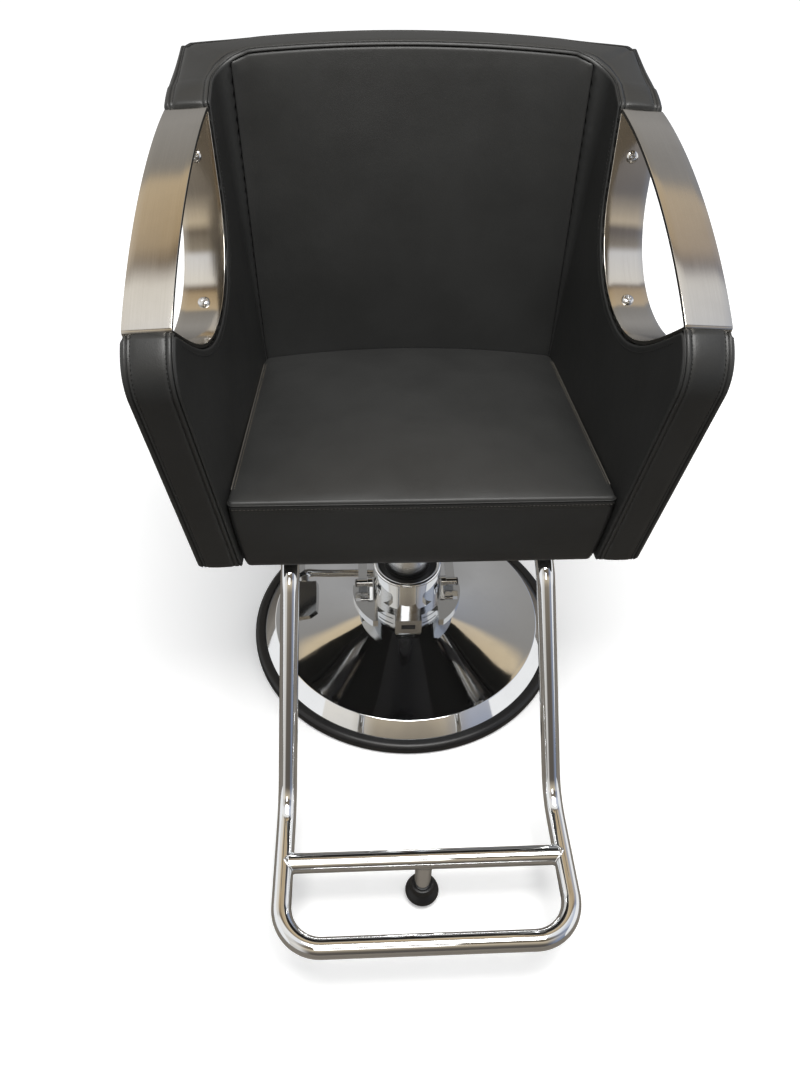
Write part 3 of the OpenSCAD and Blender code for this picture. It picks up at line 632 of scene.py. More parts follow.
class Draft:
    """Vertices, faces and painted values of a piece while it is being made, in millimetres."""

    def __init__(self) -> None:
        """Starts empty."""
        self.points: list[Array] = []
        self.seam: list[Array] = []
        self.wear_and_sheen: list[Array] = []
        self.grain: list[Array] = []
        self.faces: list[tuple[int, ...]] = []
        self.count = 0

    def add(
        self,
        points: Array,
        seam: Optional[Array] = None,
        grain: Optional[Array] = None,
        wear_and_sheen: Optional[Array] = None,
    ) -> Array:
        """Adds vertices.

        Args:
            points: Their places, with any shape before the last axis.
            seam: How much painted shade each one gets at the bottom of a seam's groove, from 0 to 1.
            grain: The run of the finish at each one, in millimetres.
            wear_and_sheen: How much lighter each one is made, partly for wear and partly as painted sheen, from 0 to
                1.

        Returns:
            Their numbers, in the shape of the points.
        """
        shape = points.shape[:-1]
        size = int(np.prod(shape))
        self.points.append(points.reshape(size, 3))
        self.seam.append(np.zeros(size) if seam is None else np.asarray(seam, float).reshape(size))
        self.wear_and_sheen.append(np.zeros(size) if wear_and_sheen is None else np.asarray(wear_and_sheen, float).reshape(size))
        self.grain.append(np.zeros((size, 3)) if grain is None else grain.reshape(size, 3))
        numbers = np.arange(self.count, self.count + size).reshape(shape)
        self.count += size
        return numbers

    def weave(self, grid: Array, round_rows: bool = False, round_columns: bool = False) -> None:
        """Fills a grid of vertex numbers with four-sided faces, closed along the axes that are round.

        Args:
            grid: The vertex numbers, by row and column.
            round_rows: Whether the last row joins the first.
            round_columns: Whether the last column joins the first.
        """
        rows = np.vstack([grid, grid[:1]]) if round_rows else grid
        full = np.hstack([rows, rows[:, :1]]) if round_columns else rows
        a, b, c, d = full[:-1, :-1], full[:-1, 1:], full[1:, 1:], full[1:, :-1]
        self.faces.extend(map(tuple, np.stack([a, b, c, d], axis=-1).reshape(-1, 4).tolist()))

    def cap(self, ring: Array) -> None:
        """Closes a ring of vertices with one fan round its middle.

        Args:
            ring: The vertex numbers, in order.
        """
        points = np.vstack(self.points)
        middle = int(self.add(points[ring].mean(axis=0)[None])[0])
        for first, second in zip(ring, np.roll(ring, -1)):
            self.faces.append((int(first), int(second), middle))

    def mirrored(self) -> None:
        """Adds the same piece on the other side of the chair."""
        points = np.vstack(self.points) * MIRROR
        faces = [tuple(reversed([i + self.count for i in face])) for face in self.faces]
        self.add(points, np.concatenate(self.seam), np.vstack(self.grain), np.concatenate(self.wear_and_sheen))
        self.faces.extend(faces)

    def build(
        self, name: str, body: Body, finish: Finish, weld: float = 0.0, sharp: Optional[float] = None
    ) -> bpy.types.Object:
        """Makes the object.

        Args:
            name: The piece's name.
            body: The body that it rides on.
            finish: Its finish.
            weld: The distance in millimetres within which vertices are joined.
            sharp: The angle in degrees above which an edge stays sharp.

        Returns:
            The object, riding on its body.
        """
        mesh = bpy.data.meshes.new(name)
        mesh.from_pydata((np.vstack(self.points) * MM).tolist(), [], self.faces)
        for label, values in (("seam", self.seam), ("wear_and_sheen", self.wear_and_sheen)):
            mesh.attributes.new(label, "FLOAT", "POINT").data.foreach_set("value", np.concatenate(values))
        run = mesh.attributes.new("grain", "FLOAT_VECTOR", "POINT")
        run.data.foreach_set("vector", (np.vstack(self.grain) * MM).ravel())
        shape = bmesh.new()
        shape.from_mesh(mesh)
        if weld:
            bmesh.ops.remove_doubles(shape, verts=shape.verts, dist=weld * MM)
        bmesh.ops.recalc_face_normals(shape, faces=shape.faces)
        for face in shape.faces:
            face.smooth = True
        shape.to_mesh(mesh)
        shape.free()
        if sharp is not None:
            mesh.set_sharp_from_angle(angle=math.radians(sharp))
        mesh.update()
        piece = bpy.data.objects.new(name, mesh)
        bpy.context.scene.collection.objects.link(piece)
        mesh.materials.append(finish.material())
        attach(piece, body.value)
        LOG.info("%s: %d faces on %s", name, len(mesh.polygons), body.value)
        return piece


def frames_along(line: Array) -> tuple[Array, Array]:
    """Sides and heights, square to a line, that turn as little as possible along it.

    Args:
        line: The line's points.

    Returns:
        The sides and the heights, all of length one.
    """
    way = unit(np.gradient(line, axis=0))
    start = np.array([0.0, 0.0, 1.0]) if abs(way[0][2]) < 0.9 else np.array([0.0, 1.0, 0.0])
    side = np.zeros_like(line)
    side[0] = unit(np.cross(way[0], start))
    for i in range(1, len(line)):
        side[i] = unit(side[i - 1] - (side[i - 1] @ way[i]) * way[i])
    return side, np.cross(way, side)


def tube_draft(line: Array, radius: float, sides: int) -> Draft:
    """A round tube along an open line, with closed ends.

    Args:
        line: The centre line.
        radius: Its radius.
        sides: How many sides it has.

    Returns:
        The draft, whose grain runs along the tube.
    """
    draft = Draft()
    side, up = frames_along(line)
    turn = np.linspace(0.0, 2 * math.pi, sides, endpoint=False)
    spoke = np.cos(turn)[None, :, None] * side[:, None] + np.sin(turn)[None, :, None] * up[:, None]
    points = line[:, None] + radius * spoke
    run = np.zeros(points.shape)
    run[..., 0] = lengths(line)[:, None]
    run[..., 1] = (turn * radius)[None]
    grid = draft.add(points, grain=run)
    draft.weave(grid, round_columns=True)
    draft.cap(grid[0][::-1])
    draft.cap(grid[-1])
    return draft


def lathe_draft(profile: Array, sides: int = 144, centre: Sequence[float] = (0.0, 0.0, 0.0)) -> Draft:
    """A closed profile of (radius, height) points turned round an upright axis.

    Args:
        profile: The points, closed from the last back to the first.
        sides: How many sides the turned piece has.
        centre: A point on the axis.

    Returns:
        The draft.
    """
    draft = Draft()
    turn = np.linspace(0.0, 2 * math.pi, sides, endpoint=False)
    r, z = profile[:, 0][:, None], profile[:, 1][:, None]
    points = np.stack([r * np.cos(turn), r * np.sin(turn), z + 0 * turn[None]], axis=-1)
    run = np.stack([turn[None] * r, z + 0 * turn[None], 0 * r * turn[None]], axis=-1)
    draft.weave(draft.add(points + np.asarray(centre, float), grain=run), round_rows=True, round_columns=True)
    return draft


def ring_profile(corners: Sequence[Sequence[float]], radii: Sequence[float]) -> Array:
    """A closed profile whose corners are rounded, each by its own radius.

    Args:
        corners: The corners.
        radii: The radius at each corner.

    Returns:
        The profile's points.
    """
    loop = [corners[-1], *corners, corners[0]]
    line = rounded(loop, [0.0, *radii, 0.0], 0.25)
    return line[1:-1]


# Place along a stitch, girth and lift at each of its rings, as shares of its length and radius.
THREAD_FORM = ((0.0, 0.25, -0.5), (0.12, 0.8, 0.2), (0.5, 1.0, 0.45), (0.88, 0.8, 0.2), (1.0, 0.25, -0.5))


@dataclass
class Stitching:
    """Rows of sewn stitches: short threads that lie half sunk in the surface."""

    name: str
    body: Body
    finish: Finish
    length: float = 3.3
    pitch: float = 5.2
    radius: float = 0.5
    draft: Draft = field(default_factory=Draft)

    def sew(self, line: Array, out: Array) -> None:
        """Sews along a line.

        Args:
            line: The points of the seam, on the surface.
            out: The direction out of the surface at each point.
        """
        along = lengths(line)
        starts = np.arange(0.0, along[-1] - self.length, self.pitch)
        stations, girth, lift = np.array(THREAD_FORM).T
        at = starts[:, None] + stations[None] * self.length
        centre = np.stack([np.interp(at, along, line[:, k]) for k in range(3)], axis=-1)
        up = unit(np.stack([np.interp(at, along, out[:, k]) for k in range(3)], axis=-1))
        way = unit(centre[:, -1] - centre[:, 0])[:, None]
        side = unit(np.cross(way, up))
        turn = np.linspace(0.0, 2 * math.pi, 6, endpoint=False)
        middle = centre + up * (lift * self.radius)[None, :, None]
        spoke = np.cos(turn)[:, None] * side[:, :, None] + np.sin(turn)[:, None] * up[:, :, None]
        points = middle[:, :, None] + spoke * (girth * self.radius)[:, None, None]
        grids = self.draft.add(points)
        for grid in grids:
            self.draft.weave(grid, round_columns=True)
            self.draft.faces.append(tuple(int(i) for i in grid[0][::-1]))
            self.draft.faces.append(tuple(int(i) for i in grid[-1]))

    def sew_both(self, line: Array, out: Array) -> None:
        """Sews along a line and along its mirror image on the other side of the chair."""
        self.sew(line, out)
        self.sew(line * MIRROR, out * MIRROR)

    def build(self) -> bpy.types.Object:
        """Makes all its stitches one object."""
        return self.draft.build(self.name, self.body, self.finish)


# Upholstery

Place = Callable[[Array, Array, Array], Array]

# Depth of each line of vertices in a rounded edge, as a share of its radius.
ROUNDING = (2.2, 1.5, 1.15, 0.8, 0.5, 0.27, 0.1, 0.0)
# Step across, in millimetres, and depth, as a share of the seam's, of each line of a sewn groove.
GROOVE = ((-2.0, -0.25), (-0.7, 0.75), (0.0, 1.0), (0.7, 0.75), (2.0, -0.25))


@dataclass(frozen=True)
class Seam:
    """A sewn groove along a slab's band: its share and step across, its depth, and how much painted shade its bottom
    gets.
    """

    share: float
    step: float
    depth: float
    shade: float


@dataclass
class Slab:
    """Half of an upholstered sheet: two faces over one flat pattern, joined by a band with rounded edges.

    The pattern's outline starts and ends on the fold line, where the other half is mirrored.
    """

    outline: Array
    near: Place
    far: Place
    near_edge: float = 4.0
    far_edge: float = 5.0
    swell: float = 0.0
    swelling: Optional[Array] = None
    thick: float = 60.0
    spacing: float = 9.0
    steps: int = 8
    seams: Sequence[Seam] = ()
    sewn: Optional[Array] = None
    pucker: float = 0.0

    def __post_init__(self) -> None:
        """Works out the inward directions of the pattern."""
        line = self.outline
        way = np.gradient(line, axis=0)
        closed = np.vstack([line, line[:1]])
        area = np.sum(closed[:-1, 0] * closed[1:, 1] - closed[1:, 0] * closed[:-1, 1])
        left = unit(np.stack([-way[:, 1], way[:, 0]], axis=1))
        self.inward = left if area > 0 else -left
        for end in (0, -1):
            self.inward[end] = (0.0, math.copysign(1.0, self.inward[end][1]))
        ones = np.ones(len(line))
        self.swelling = ones if self.swelling is None else self.swelling
        self.sewn = ones if self.sewn is None else self.sewn

    def at(self, pattern: Array, depth: Array, share: float, step: float) -> Array:
        """Places on the sheet.

        Args:
            pattern: Points of the flat pattern.
            depth: Their distance inside the outline.
            share: How far across the thickness they lie, from 0 at the near face to 1 at the far one.
            step: A further step across, in millimetres.

        Returns:
            Points in space.
        """
        near = self.near(pattern[..., 0], pattern[..., 1], depth)
        across = self.far(pattern[..., 0], pattern[..., 1], depth) - near
        return near + across * share + unit(across) * step

    @staticmethod
    def rounding(radius: float) -> list[tuple[float, float]]:
        """Depth of each line of a rounded edge, and how far the face has dropped there."""
        depths = [k * radius for k in ROUNDING]
        return [(d, radius - math.sqrt(radius**2 - (radius - min(d, radius)) ** 2)) for d in depths]

    def stations(self) -> list[tuple[float, float, float, float]]:
        """Depth, share, step and painted seam shade of each line of vertices, from the near face to the far one.

        Returns:
            One entry for each line.
        """
        near = [(depth, 0.0, drop, 0.0) for depth, drop in self.rounding(self.near_edge)]
        far = [(depth, 1.0, -drop, 0.0) for depth, drop in reversed(self.rounding(self.far_edge))]
        middle = []
        for t in (i / self.steps for i in range(1, self.steps)):
            out = self.swell * math.sin(math.pi * t) ** 0.6
            middle.append((-out, t, self.near_edge * (1 - t) - self.far_edge * t, 0.0))
        for seam in self.seams:
            wide = 1.0 if seam.depth > 1.0 else 0.6
            for across, sink in GROOVE:
                depth = seam.depth * sink - self.swell * 0.25
                middle.append((depth, seam.share, seam.step + across * wide, seam.shade if sink > 0.0 else 0.0))
        middle.sort(key=lambda m: m[1] * self.thick + m[2])
        return near + middle + far

    def inset(self, depth: Array) -> Array:
        """The outline moved by a distance at each point, drawn together where a corner is tighter than that.

        Args:
            depth: The distance inside the outline at each of its points.

        Returns:
            The moved points.
        """
        inward = np.maximum(depth, 0.0)
        moved = self.outline + self.inward * inward[:, None]
        start, edge = self.outline[:-1], np.diff(self.outline, axis=0)
        reach = moved[:, None] - start
        share = np.clip((reach * edge).sum(axis=2) / np.maximum((edge**2).sum(axis=1), 1e-9), 0.0, 1.0)
        gap = np.linalg.norm(reach - share[..., None] * edge, axis=2).min(axis=1)
        sound = gap > 0.95 * inward - 0.02
        index = np.arange(len(moved))
        for axis in range(2):
            moved[~sound, axis] = np.interp(index[~sound], index[sound], moved[sound, axis])
        return moved + self.inward * np.minimum(depth, 0.0)[:, None]

    def band(self, draft: Draft) -> Array:
        """Adds the band and the rounded edges, and gives their vertex numbers by line and station.

        Args:
            draft: The piece being made.

        Returns:
            The grid of numbers.
        """
        rng = np.random.default_rng(7)
        along = lengths(self.outline)
        ripple = sum(np.sin(along / wave + rng.uniform(0, 6.3)) for wave in (2.3, 3.7, 5.9)) / 3.0
        columns, marks, worn_and_sheen = [], [], []
        for depth, share, step, dark in self.stations():
            real = depth * self.swelling if depth < 0 else depth * (self.sewn if dark > 0 else 1.0)
            real = real + (self.pucker * ripple * self.sewn if dark > 0 else 0.0)
            real = np.broadcast_to(real, (len(self.outline),))
            columns.append(self.at(self.inset(real), np.maximum(real, 0.0), share, step))
            # Painted shade goes to the groove bottoms; the lines of the rounded edge are lightened, partly for wear
            # and partly as painted sheen.
            marks.append(dark * self.sewn)
            worn_and_sheen.append(np.full(len(self.outline), 1.0 if 0 < abs(depth) < self.near_edge * 0.3 else 0.0))
        points = np.stack(columns, axis=1)
        grid = draft.add(points, seam=np.stack(marks, axis=1), wear_and_sheen=np.stack(worn_and_sheen, axis=1))
        draft.weave(grid)
        return grid

    def interior(self, loop: Array) -> Array:
        """Points of a staggered grid inside a closed loop of the pattern, clear of its line.

        Args:
            loop: The loop's points, in order.

        Returns:
            The points, each with its distance from the loop.
        """
        low, high = loop.min(axis=0), loop.max(axis=0)
        rows = np.arange(low[1], high[1], self.spacing * 0.87)
        found = []
        for i, row in enumerate(rows):
            columns = np.arange(low[0] + (i % 2) * self.spacing / 2, high[0], self.spacing)
            found.append(np.stack([columns, np.full(len(columns), row)], axis=1))
        points = np.vstack(found)
        inside = np.zeros(len(points), bool)
        nearest = np.full(len(points), 1e9)
        for a, b in zip(loop, np.roll(loop, -1, axis=0)):
            crosses = (a[1] > points[:, 1]) != (b[1] > points[:, 1])
            slope = (b[0] - a[0]) / (b[1] - a[1]) if b[1] != a[1] else 0.0
            inside ^= crosses & (points[:, 0] < a[0] + slope * (points[:, 1] - a[1]))
            edge = b - a
            share = np.clip(((points - a) @ edge) / max(edge @ edge, 1e-9), 0.0, 1.0)
            nearest = np.minimum(nearest, np.linalg.norm(points - a - share[:, None] * edge, axis=1))
        keep = inside & (nearest > self.spacing * 0.55)
        return np.column_stack([points[keep], nearest[keep]])

    def fill(self, draft: Draft, ring: Array, numbers: Array, depth: float, share: float) -> None:
        """Fills one face inside its innermost line of vertices.

        Args:
            draft: The piece being made.
            ring: Pattern points of that line.
            numbers: The vertex numbers of that line.
            depth: Its distance inside the outline.
            share: 0 for the near face, 1 for the far one.
        """
        fold = ring[0][0]
        gap = abs(ring[0][1] - ring[-1][1])
        count = max(1, int(gap / self.spacing))
        folds = np.linspace(ring[-1][1], ring[0][1], count + 1)[1:-1]
        fold_points = np.column_stack([np.full(len(folds), fold), folds])
        loop = np.vstack([ring, fold_points])
        inner = self.interior(loop)
        inner = inner[np.abs(inner[:, 0] - fold) > self.spacing * 0.3]
        fold_depth = np.minimum(np.abs(folds - ring[0][1]), np.abs(folds - ring[-1][1]))
        fresh = np.vstack([np.column_stack([fold_points, fold_depth]), inner])
        fresh[:, 2] += depth
        flat = np.vstack([ring, fresh[:, :2]])
        bound = list(range(len(loop)))
        corners, _, faces, origin, _, _ = delaunay_2d_cdt([Vector(p) for p in flat], [], [bound], 1, 1e-4)
        placed = draft.add(self.at(fresh[:, :2], fresh[:, 2], share, 0.0))
        known = np.concatenate([numbers, placed])
        names = [int(known[source[0]]) if source else -1 for source in origin]
        for i, name in enumerate(names):
            if name < 0:
                spot = np.array([corners[i][:]])
                names[i] = int(draft.add(self.at(spot, np.full(1, depth), share, 0.0))[0])
                LOG.warning("crossed pattern at %s", spot)
        for face in faces:
            draft.faces.append(tuple(names[i] for i in face))

    def draft(self) -> Draft:
        """The whole half, closed except along the fold.

        Returns:
            The draft of the half.
        """
        made = Draft()
        grid = self.band(made)
        stations = self.stations()
        for column, share in ((0, 0.0), (-1, 1.0)):
            depth = stations[column][0]
            ring = self.inset(np.full(len(self.outline), depth))
            self.fill(made, ring, grid[:, column], depth, share)
        return made

    def track(self, share: float, step: float, depth: float, part: slice) -> tuple[Array, Array]:
        """A line along the outline and the direction out of the surface beside it.

        Args:
            share: How far across the thickness it lies.
            step: A further step across, in millimetres.
            depth: Its distance inside the outline, where it runs on a face.
            part: The part of the outline that is wanted.

        Returns:
            The line's points and the directions.
        """
        zero = np.zeros(len(self.outline))
        here = self.at(self.inset(zero + depth), zero + max(depth, 0.0), share, step)[part]
        if depth > self.near_edge:
            under = step + (1.0 if share < 0.5 else -1.0)
            back = self.at(self.inset(zero + depth), zero + depth, share, under)[part]
        else:
            back = self.at(self.inset(zero + depth + 1.0), zero + max(depth, 0.0), share, step)[part]
        return here, unit(here - back)


@dataclass(frozen=True)
class ChairSizes:
    """The chair's own dimensions, as the solid model has them, in millimetres and degrees."""

    seat_h: float = 573.0
    boxing_h: float = 131.0
    seat_front: float = 274.0
    seat_crown: float = 19.0
    seat_fall: float = 19.0
    base_x: float = 236.0
    panel_front: float = 270.0
    panel_low: float = 452.0
    panel_t: float = 58.0
    lean: float = math.radians(4.6)
    splay: float = math.radians(3.1)
    back_y: float = 122.0
    recline: float = math.tan(math.radians(8.5))
    pad_t: float = 32.0
    shell_t: float = 34.0
    back_top: float = 1000.0
    back_arch: float = 14.0
    nose_h: float = 368.0
    wing_h: float = 488.0
    strap_w: float = 51.0
    strap_t: float = 5.0
    rest_gap: float = 0.3

    @property
    def panel_l(self) -> float:
        """Length of a side panel along its lower edge."""
        return self.panel_front + self.rear_y(self.panel_low)

    def face_y(self, z: Any) -> Any:
        """Where the backrest's face is at a height."""
        return self.back_y + self.recline * (z - self.seat_h)

    def rear_y(self, z: Any) -> Any:
        """Where the backrest's rear is at a height."""
        return self.face_y(z) + self.pad_t + self.shell_t

    def side_x(self, y: Any, z: Any) -> Any:
        """Where a side panel's inner face is."""
        return self.base_x + math.tan(self.lean) * (z - self.panel_low) - math.tan(self.splay) * y

    def panel(self, u: Array, w: Array, x: Any) -> Array:
        """A point of the right side panel.

        Args:
            u: Distance from its lower front corner, towards the back.
            w: Distance above its lower edge.
            x: Distance outwards from its inner face.

        Returns:
            The point in space.
        """
        out = x * math.cos(self.lean) + w * math.sin(self.lean)
        up = w * math.cos(self.lean) - x * math.sin(self.lean)
        y = u - self.panel_front
        return np.stack(
            [
                self.base_x + out * math.cos(self.splay) - y * math.sin(self.splay),
                out * math.sin(self.splay) + y * math.cos(self.splay),
                self.panel_low + up + 0.0 * y,
            ],
            axis=-1,
        )

    @property
    def rear_pulls(self) -> list[Array]:
        """Control points of the cut-out's rear curve, from its lowest point to the foot of the riser.

        Returns:
            Four points, as (u, w).
        """
        low = np.array([0.37 * self.panel_l, 0.569 * self.wing_h])
        riser = np.array([0.757 * self.panel_l, 0.81 * self.wing_h])
        return [low, low + (0.2 * self.panel_l, 0.0), riser - (0.045 * self.panel_l, 0.13 * self.wing_h), riser]

    @property
    def cut_line(self) -> Array:
        """The edge of the cut-out, from the armrest's front end to its rear end, as (u, w).

        Returns:
            The points.
        """
        top = np.array([-0.008 * self.panel_front, self.nose_h])
        low, _, _, riser = pulls = self.rear_pulls
        crest = np.array([riser[0] + 0.0625 * self.wing_h, 1.0144 * self.wing_h])
        steep = top + (0.12 * self.panel_l, -0.13 * self.nose_h)
        front = bezier([top, steep, low - (0.15 * self.panel_l, 0.0), low], 40)
        return np.vstack([front[:-1], bezier(pulls, 40)[:-1], np.linspace(riser, crest, 12)])

    @property
    def arm_line(self) -> Array:
        """The upper surface of the armrest, from its front end to its rear end, as (u, w).

        Returns:
            The points.
        """
        cut = self.cut_line
        front = cut[0] + (-0.008 * self.panel_front, 1.2 * self.strap_t)
        rear = cut[-1] + (-0.2 * self.strap_t, 0.3 * self.strap_t)
        rise = front + (0.215 * self.panel_l, 0.165 * self.nose_h)
        return bezier([front, rise, rear - (0.3 * self.panel_l, 0.022 * self.wing_h), rear], 90)


SIZES = ChairSizes()


@dataclass
class BucketCover:
    """The upholstered bucket: both side panels, the rear corners and the backrest's shell, under one band."""

    sizes: ChairSizes = SIZES
    turn: float = 60.0
    half_back: float = 240.0
    outer_radius: float = 8.0
    corner_low: float = 4.0
    corner_high: float = 45.0
    corner_foot: float = 121.0
    corner_head: float = 530.0
    crease: float = -22.8
    arch_reach: float = 0.84
    top_swell: float = 1.0
    back_swell: float = 1.2
    side_swell: float = 3.3
    crown: float = 1.6
    crown_reach: float = 15.0
    rise_at: float = 525.0
    rail_s: tuple[float, ...] = (-60.0, -45.0, -30.0, -15.0, 0.0)
    rail_w: tuple[float, ...] = (516.0, 520.5, 527.0, 534.5, 540.0)
    rise_s: tuple[float, ...] = (-90.0, -60.0, -51.0, -42.0, -36.0, -30.0, -18.0)
    rise_w: tuple[float, ...] = (0.0, -4.0, 2.5, 11.5, 7.0, 3.0, 0.0)

    def corner_radius(self, w: Array) -> Array:
        """Radius of the inner rear corner, which grows towards the top."""
        share = np.clip((w - self.corner_foot) / (self.corner_head - self.corner_foot), 0.0, 1.0)
        return self.corner_low + (self.corner_high - self.corner_low) * share

    def corner(self, w: Array) -> tuple[Array, Array]:
        """Where the inner corner's arc starts on the panel, and its height in space.

        Args:
            w: Heights along the panel.

        Returns:
            The place and the height.
        """
        s = self.sizes
        z = s.panel_low + w * math.cos(s.lean)
        place = s.panel_front + (s.face_y(z) - w * math.sin(s.lean) * math.sin(s.splay)) / math.cos(s.splay)
        return place - self.corner_radius(w) * math.tan((math.pi / 2 - s.splay) / 2), z

    def pattern_x(self, u: Array, w: Array) -> Array:
        """The pattern's first coordinate for a place on the side panel."""
        return u - self.corner(w)[0] - self.turn

    def arc(self, start: Array, radius: Any, share: Array) -> Array:
        """Points of the upright arc that turns from the side panel's direction to the backrest's.

        Args:
            start: Where the arc starts.
            radius: Its radius.
            share: How far round it a point is, from 0 to 1.

        Returns:
            The points.
        """
        splay = self.sizes.splay
        way = np.array([-math.sin(splay), math.cos(splay), 0.0])
        left = np.array([-math.cos(splay), -math.sin(splay), 0.0])
        angle = (math.pi / 2 - splay) * share
        return start + (radius * np.sin(angle))[..., None] * way + (radius * (1 - np.cos(angle)))[..., None] * left

    def inner(self, s: Array, w: Array) -> Array:
        """The inner surface: side face, rounded corner and the backrest's face.

        Args:
            s: Places round the pattern.
            w: Heights along the panel.

        Returns:
            Points in space.
        """
        start, _ = self.corner(w)
        side = self.sizes.panel(start + np.minimum(s + self.turn, 0.0), w, 0.0)
        bent = self.arc(side, self.corner_radius(w), np.clip((s + self.turn) / self.turn, 0.0, 1.0))
        bent[..., 0] *= 1.0 - np.clip(s / self.half_back, 0.0, 1.0)
        return bent

    def outer(self, s: Array, w: Array) -> Array:
        """The outer surface: side face, tight rear corner and the backrest's rear.

        Args:
            s: Places round the pattern.
            w: Heights along the panel.

        Returns:
            Points in space.
        """
        sizes = self.sizes
        start, z = self.corner(w)
        drop = sizes.panel_t * math.sin(sizes.lean)
        rise = np.interp(s, self.rise_s, self.rise_w) * np.clip(w / self.rise_at, 0.0, 1.1) ** 2
        lift = drop * smooth_step(s, -self.turn, -0.4 * self.turn) + rise
        up = w + lift / math.cos(sizes.lean)
        base = sizes.panel(np.zeros_like(s), up, sizes.panel_t)
        corner_u = (sizes.rear_y(z - drop + lift) - base[..., 1]) / math.cos(sizes.splay)
        reach = self.outer_radius * math.tan((math.pi / 2 - sizes.splay) / 2)
        first = np.clip((s + self.turn) / (0.3 * self.turn), 0.0, 1.0)
        second = np.clip((s + 0.7 * self.turn) / (0.4 * self.turn), 0.0, 1.0)
        third = np.clip((s + 0.3 * self.turn) / (0.3 * self.turn), 0.0, 1.0)
        u = start + np.minimum(s + self.turn, 0.0) + (corner_u - reach - start) * first
        bent = self.arc(sizes.panel(u, up, sizes.panel_t), self.outer_radius, second)
        x = bent[..., 0] + (self.inner(np.zeros_like(s), w)[..., 0] - bent[..., 0]) * third
        bent[..., 0] = x * (1.0 - np.clip(s / self.half_back, 0.0, 1.0))
        return bent

    def near(self, s: Array, w: Array, depth: Array) -> Array:
        """The inner surface with the recess behind the back cushion.

        Args:
            s: Places round the pattern.
            w: Heights along the panel.
            depth: The distance inside the outline.

        Returns:
            Points in space.
        """
        behind = smooth_step(depth, 4.5, 7.5) * smooth_step(s, self.crease + 0.5, self.crease + 4.0)
        step = np.zeros((*np.shape(s), 3))
        step[..., 1] = behind * (self.sizes.pad_t + 0.6)
        return self.inner(s, w) + step

    def far(self, s: Array, w: Array, depth: Array) -> Array:
        """The outer surface with a slight crown.

        Args:
            s: Places round the pattern.
            w: Heights along the panel.
            depth: The distance inside the outline.

        Returns:
            Points in space.
        """
        flat = self.outer(s, w)
        inside = self.inner(s, w)
        side = self.back_swell + self.side_swell * (1.0 - smooth_step(s, -0.7 * self.turn, -0.3 * self.turn))
        crown = side + self.crown * (1.0 - np.exp(-np.maximum(depth, 0.0) / self.crown_reach))
        return flat + unit(flat - inside) * crown[..., None]

    def rail(self) -> Array:
        """The top edge over the corner and the backrest, from the wing to the fold, in the pattern.

        Returns:
            The points of the edge.
        """
        sizes = self.sizes
        s = np.concatenate([np.arange(-self.turn, 0.0, 2.5), np.arange(0.0, self.half_back, 8.0), [self.half_back]])
        x = (1.0 - np.clip(s / self.half_back, 0.0, 1.0)) * self.arch_reach
        high = (sizes.back_top + self.top_swell - sizes.back_arch * x**2 - sizes.panel_low) / math.cos(sizes.lean)
        w = np.where(s < 0.0, np.interp(s, self.rail_s, self.rail_w), high)
        kernel = np.array([1.0, 2.0, 3.0, 2.0, 1.0]) / 9.0
        smooth = np.convolve(np.pad(w, 2, mode="edge"), kernel, mode="valid")
        smooth[0], smooth[-1] = w[0], w[-1]
        return np.column_stack([s, smooth])

    def outline(self) -> tuple[Array, dict[str, int]]:
        """The pattern's outline from the fold below round the front to the fold above.

        Returns:
            The points, and the index where the front, the cut-out and the wing start.
        """
        sizes = self.sizes
        cut = sizes.cut_line
        tip = np.array([-0.155 * sizes.panel_front, 0.845 * sizes.nose_h])
        end = cut[0] + (-2.6, 3.2)
        pulls = [tip, tip + (0.0, 0.08 * sizes.nose_h), end - (0.06 * sizes.nose_h, 0.04 * sizes.nose_h), end]
        nose = bezier(pulls, 13)
        front = rounded([(40.0, 0.0), (0.0, 0.0), tip + (4.0, -30.0), tip], [0, 9, 80, 0], 0.2)
        front = filled(front, 7.0)
        valley = resampled(cut, 6.0)[1:]
        wing = cut[-1] + np.array([[0.7, 2.6], [2.6, 4.8], [6.0, 6.6], [13.0, 9.8], [24.0, 15.0], [36.5, 20.0]])
        side = np.vstack([front, nose[1:], [cut[0] + (0.4, -0.9)], valley, wing])
        side[:, 0] = self.pattern_x(side[:, 0], side[:, 1])
        rail = self.rail()
        side = side[side[:, 0] < rail[0][0] - 1.5]
        start = side[0][0]
        foot_s = np.concatenate([np.arange(self.half_back, -self.turn, -8.0), np.arange(-self.turn, start, -8.0)])
        foot_s = foot_s[foot_s > start + 4.0]
        foot = np.column_stack([foot_s, np.zeros(len(foot_s))])
        at_cut = len(foot) + len(front) + len(nose)
        marks = {"front": len(foot), "cut": at_cut, "wing": at_cut + len(valley)}
        return np.vstack([foot, side, rail]), marks

    def slab(self) -> tuple[Slab, dict[str, int]]:
        """The half sheet and the marks along its outline.

        Returns:
            The sheet and the marks.
        """
        line, marks = self.outline()
        index = np.arange(len(line))
        open_part = (index >= marks["front"]).astype(float)
        covered = ((index >= marks["cut"] - 1) & (index < marks["wing"])).astype(float)
        swelling = (1.0 - covered) * (0.3 + 0.7 * open_part)
        sewn = open_part * (1.0 - covered)
        slab = Slab(
            outline=line,
            near=self.near,
            far=self.far,
            near_edge=4.0,
            far_edge=4.0,
            swell=1.8,
            swelling=swelling,
            steps=10,
            # Each seam: share, step, groove depth, and painted shade in its groove.
            seams=(
                Seam(0.0, 3.4, 1.9, 1.0),
                Seam(0.0, 10.5, 0.5, 0.55),
                Seam(1.0, -7.5, 1.5, 1.0),
                Seam(1.0, -12.0, 0.4, 0.4),
            ),
            sewn=sewn,
            pucker=0.12,
        )
        return slab, marks

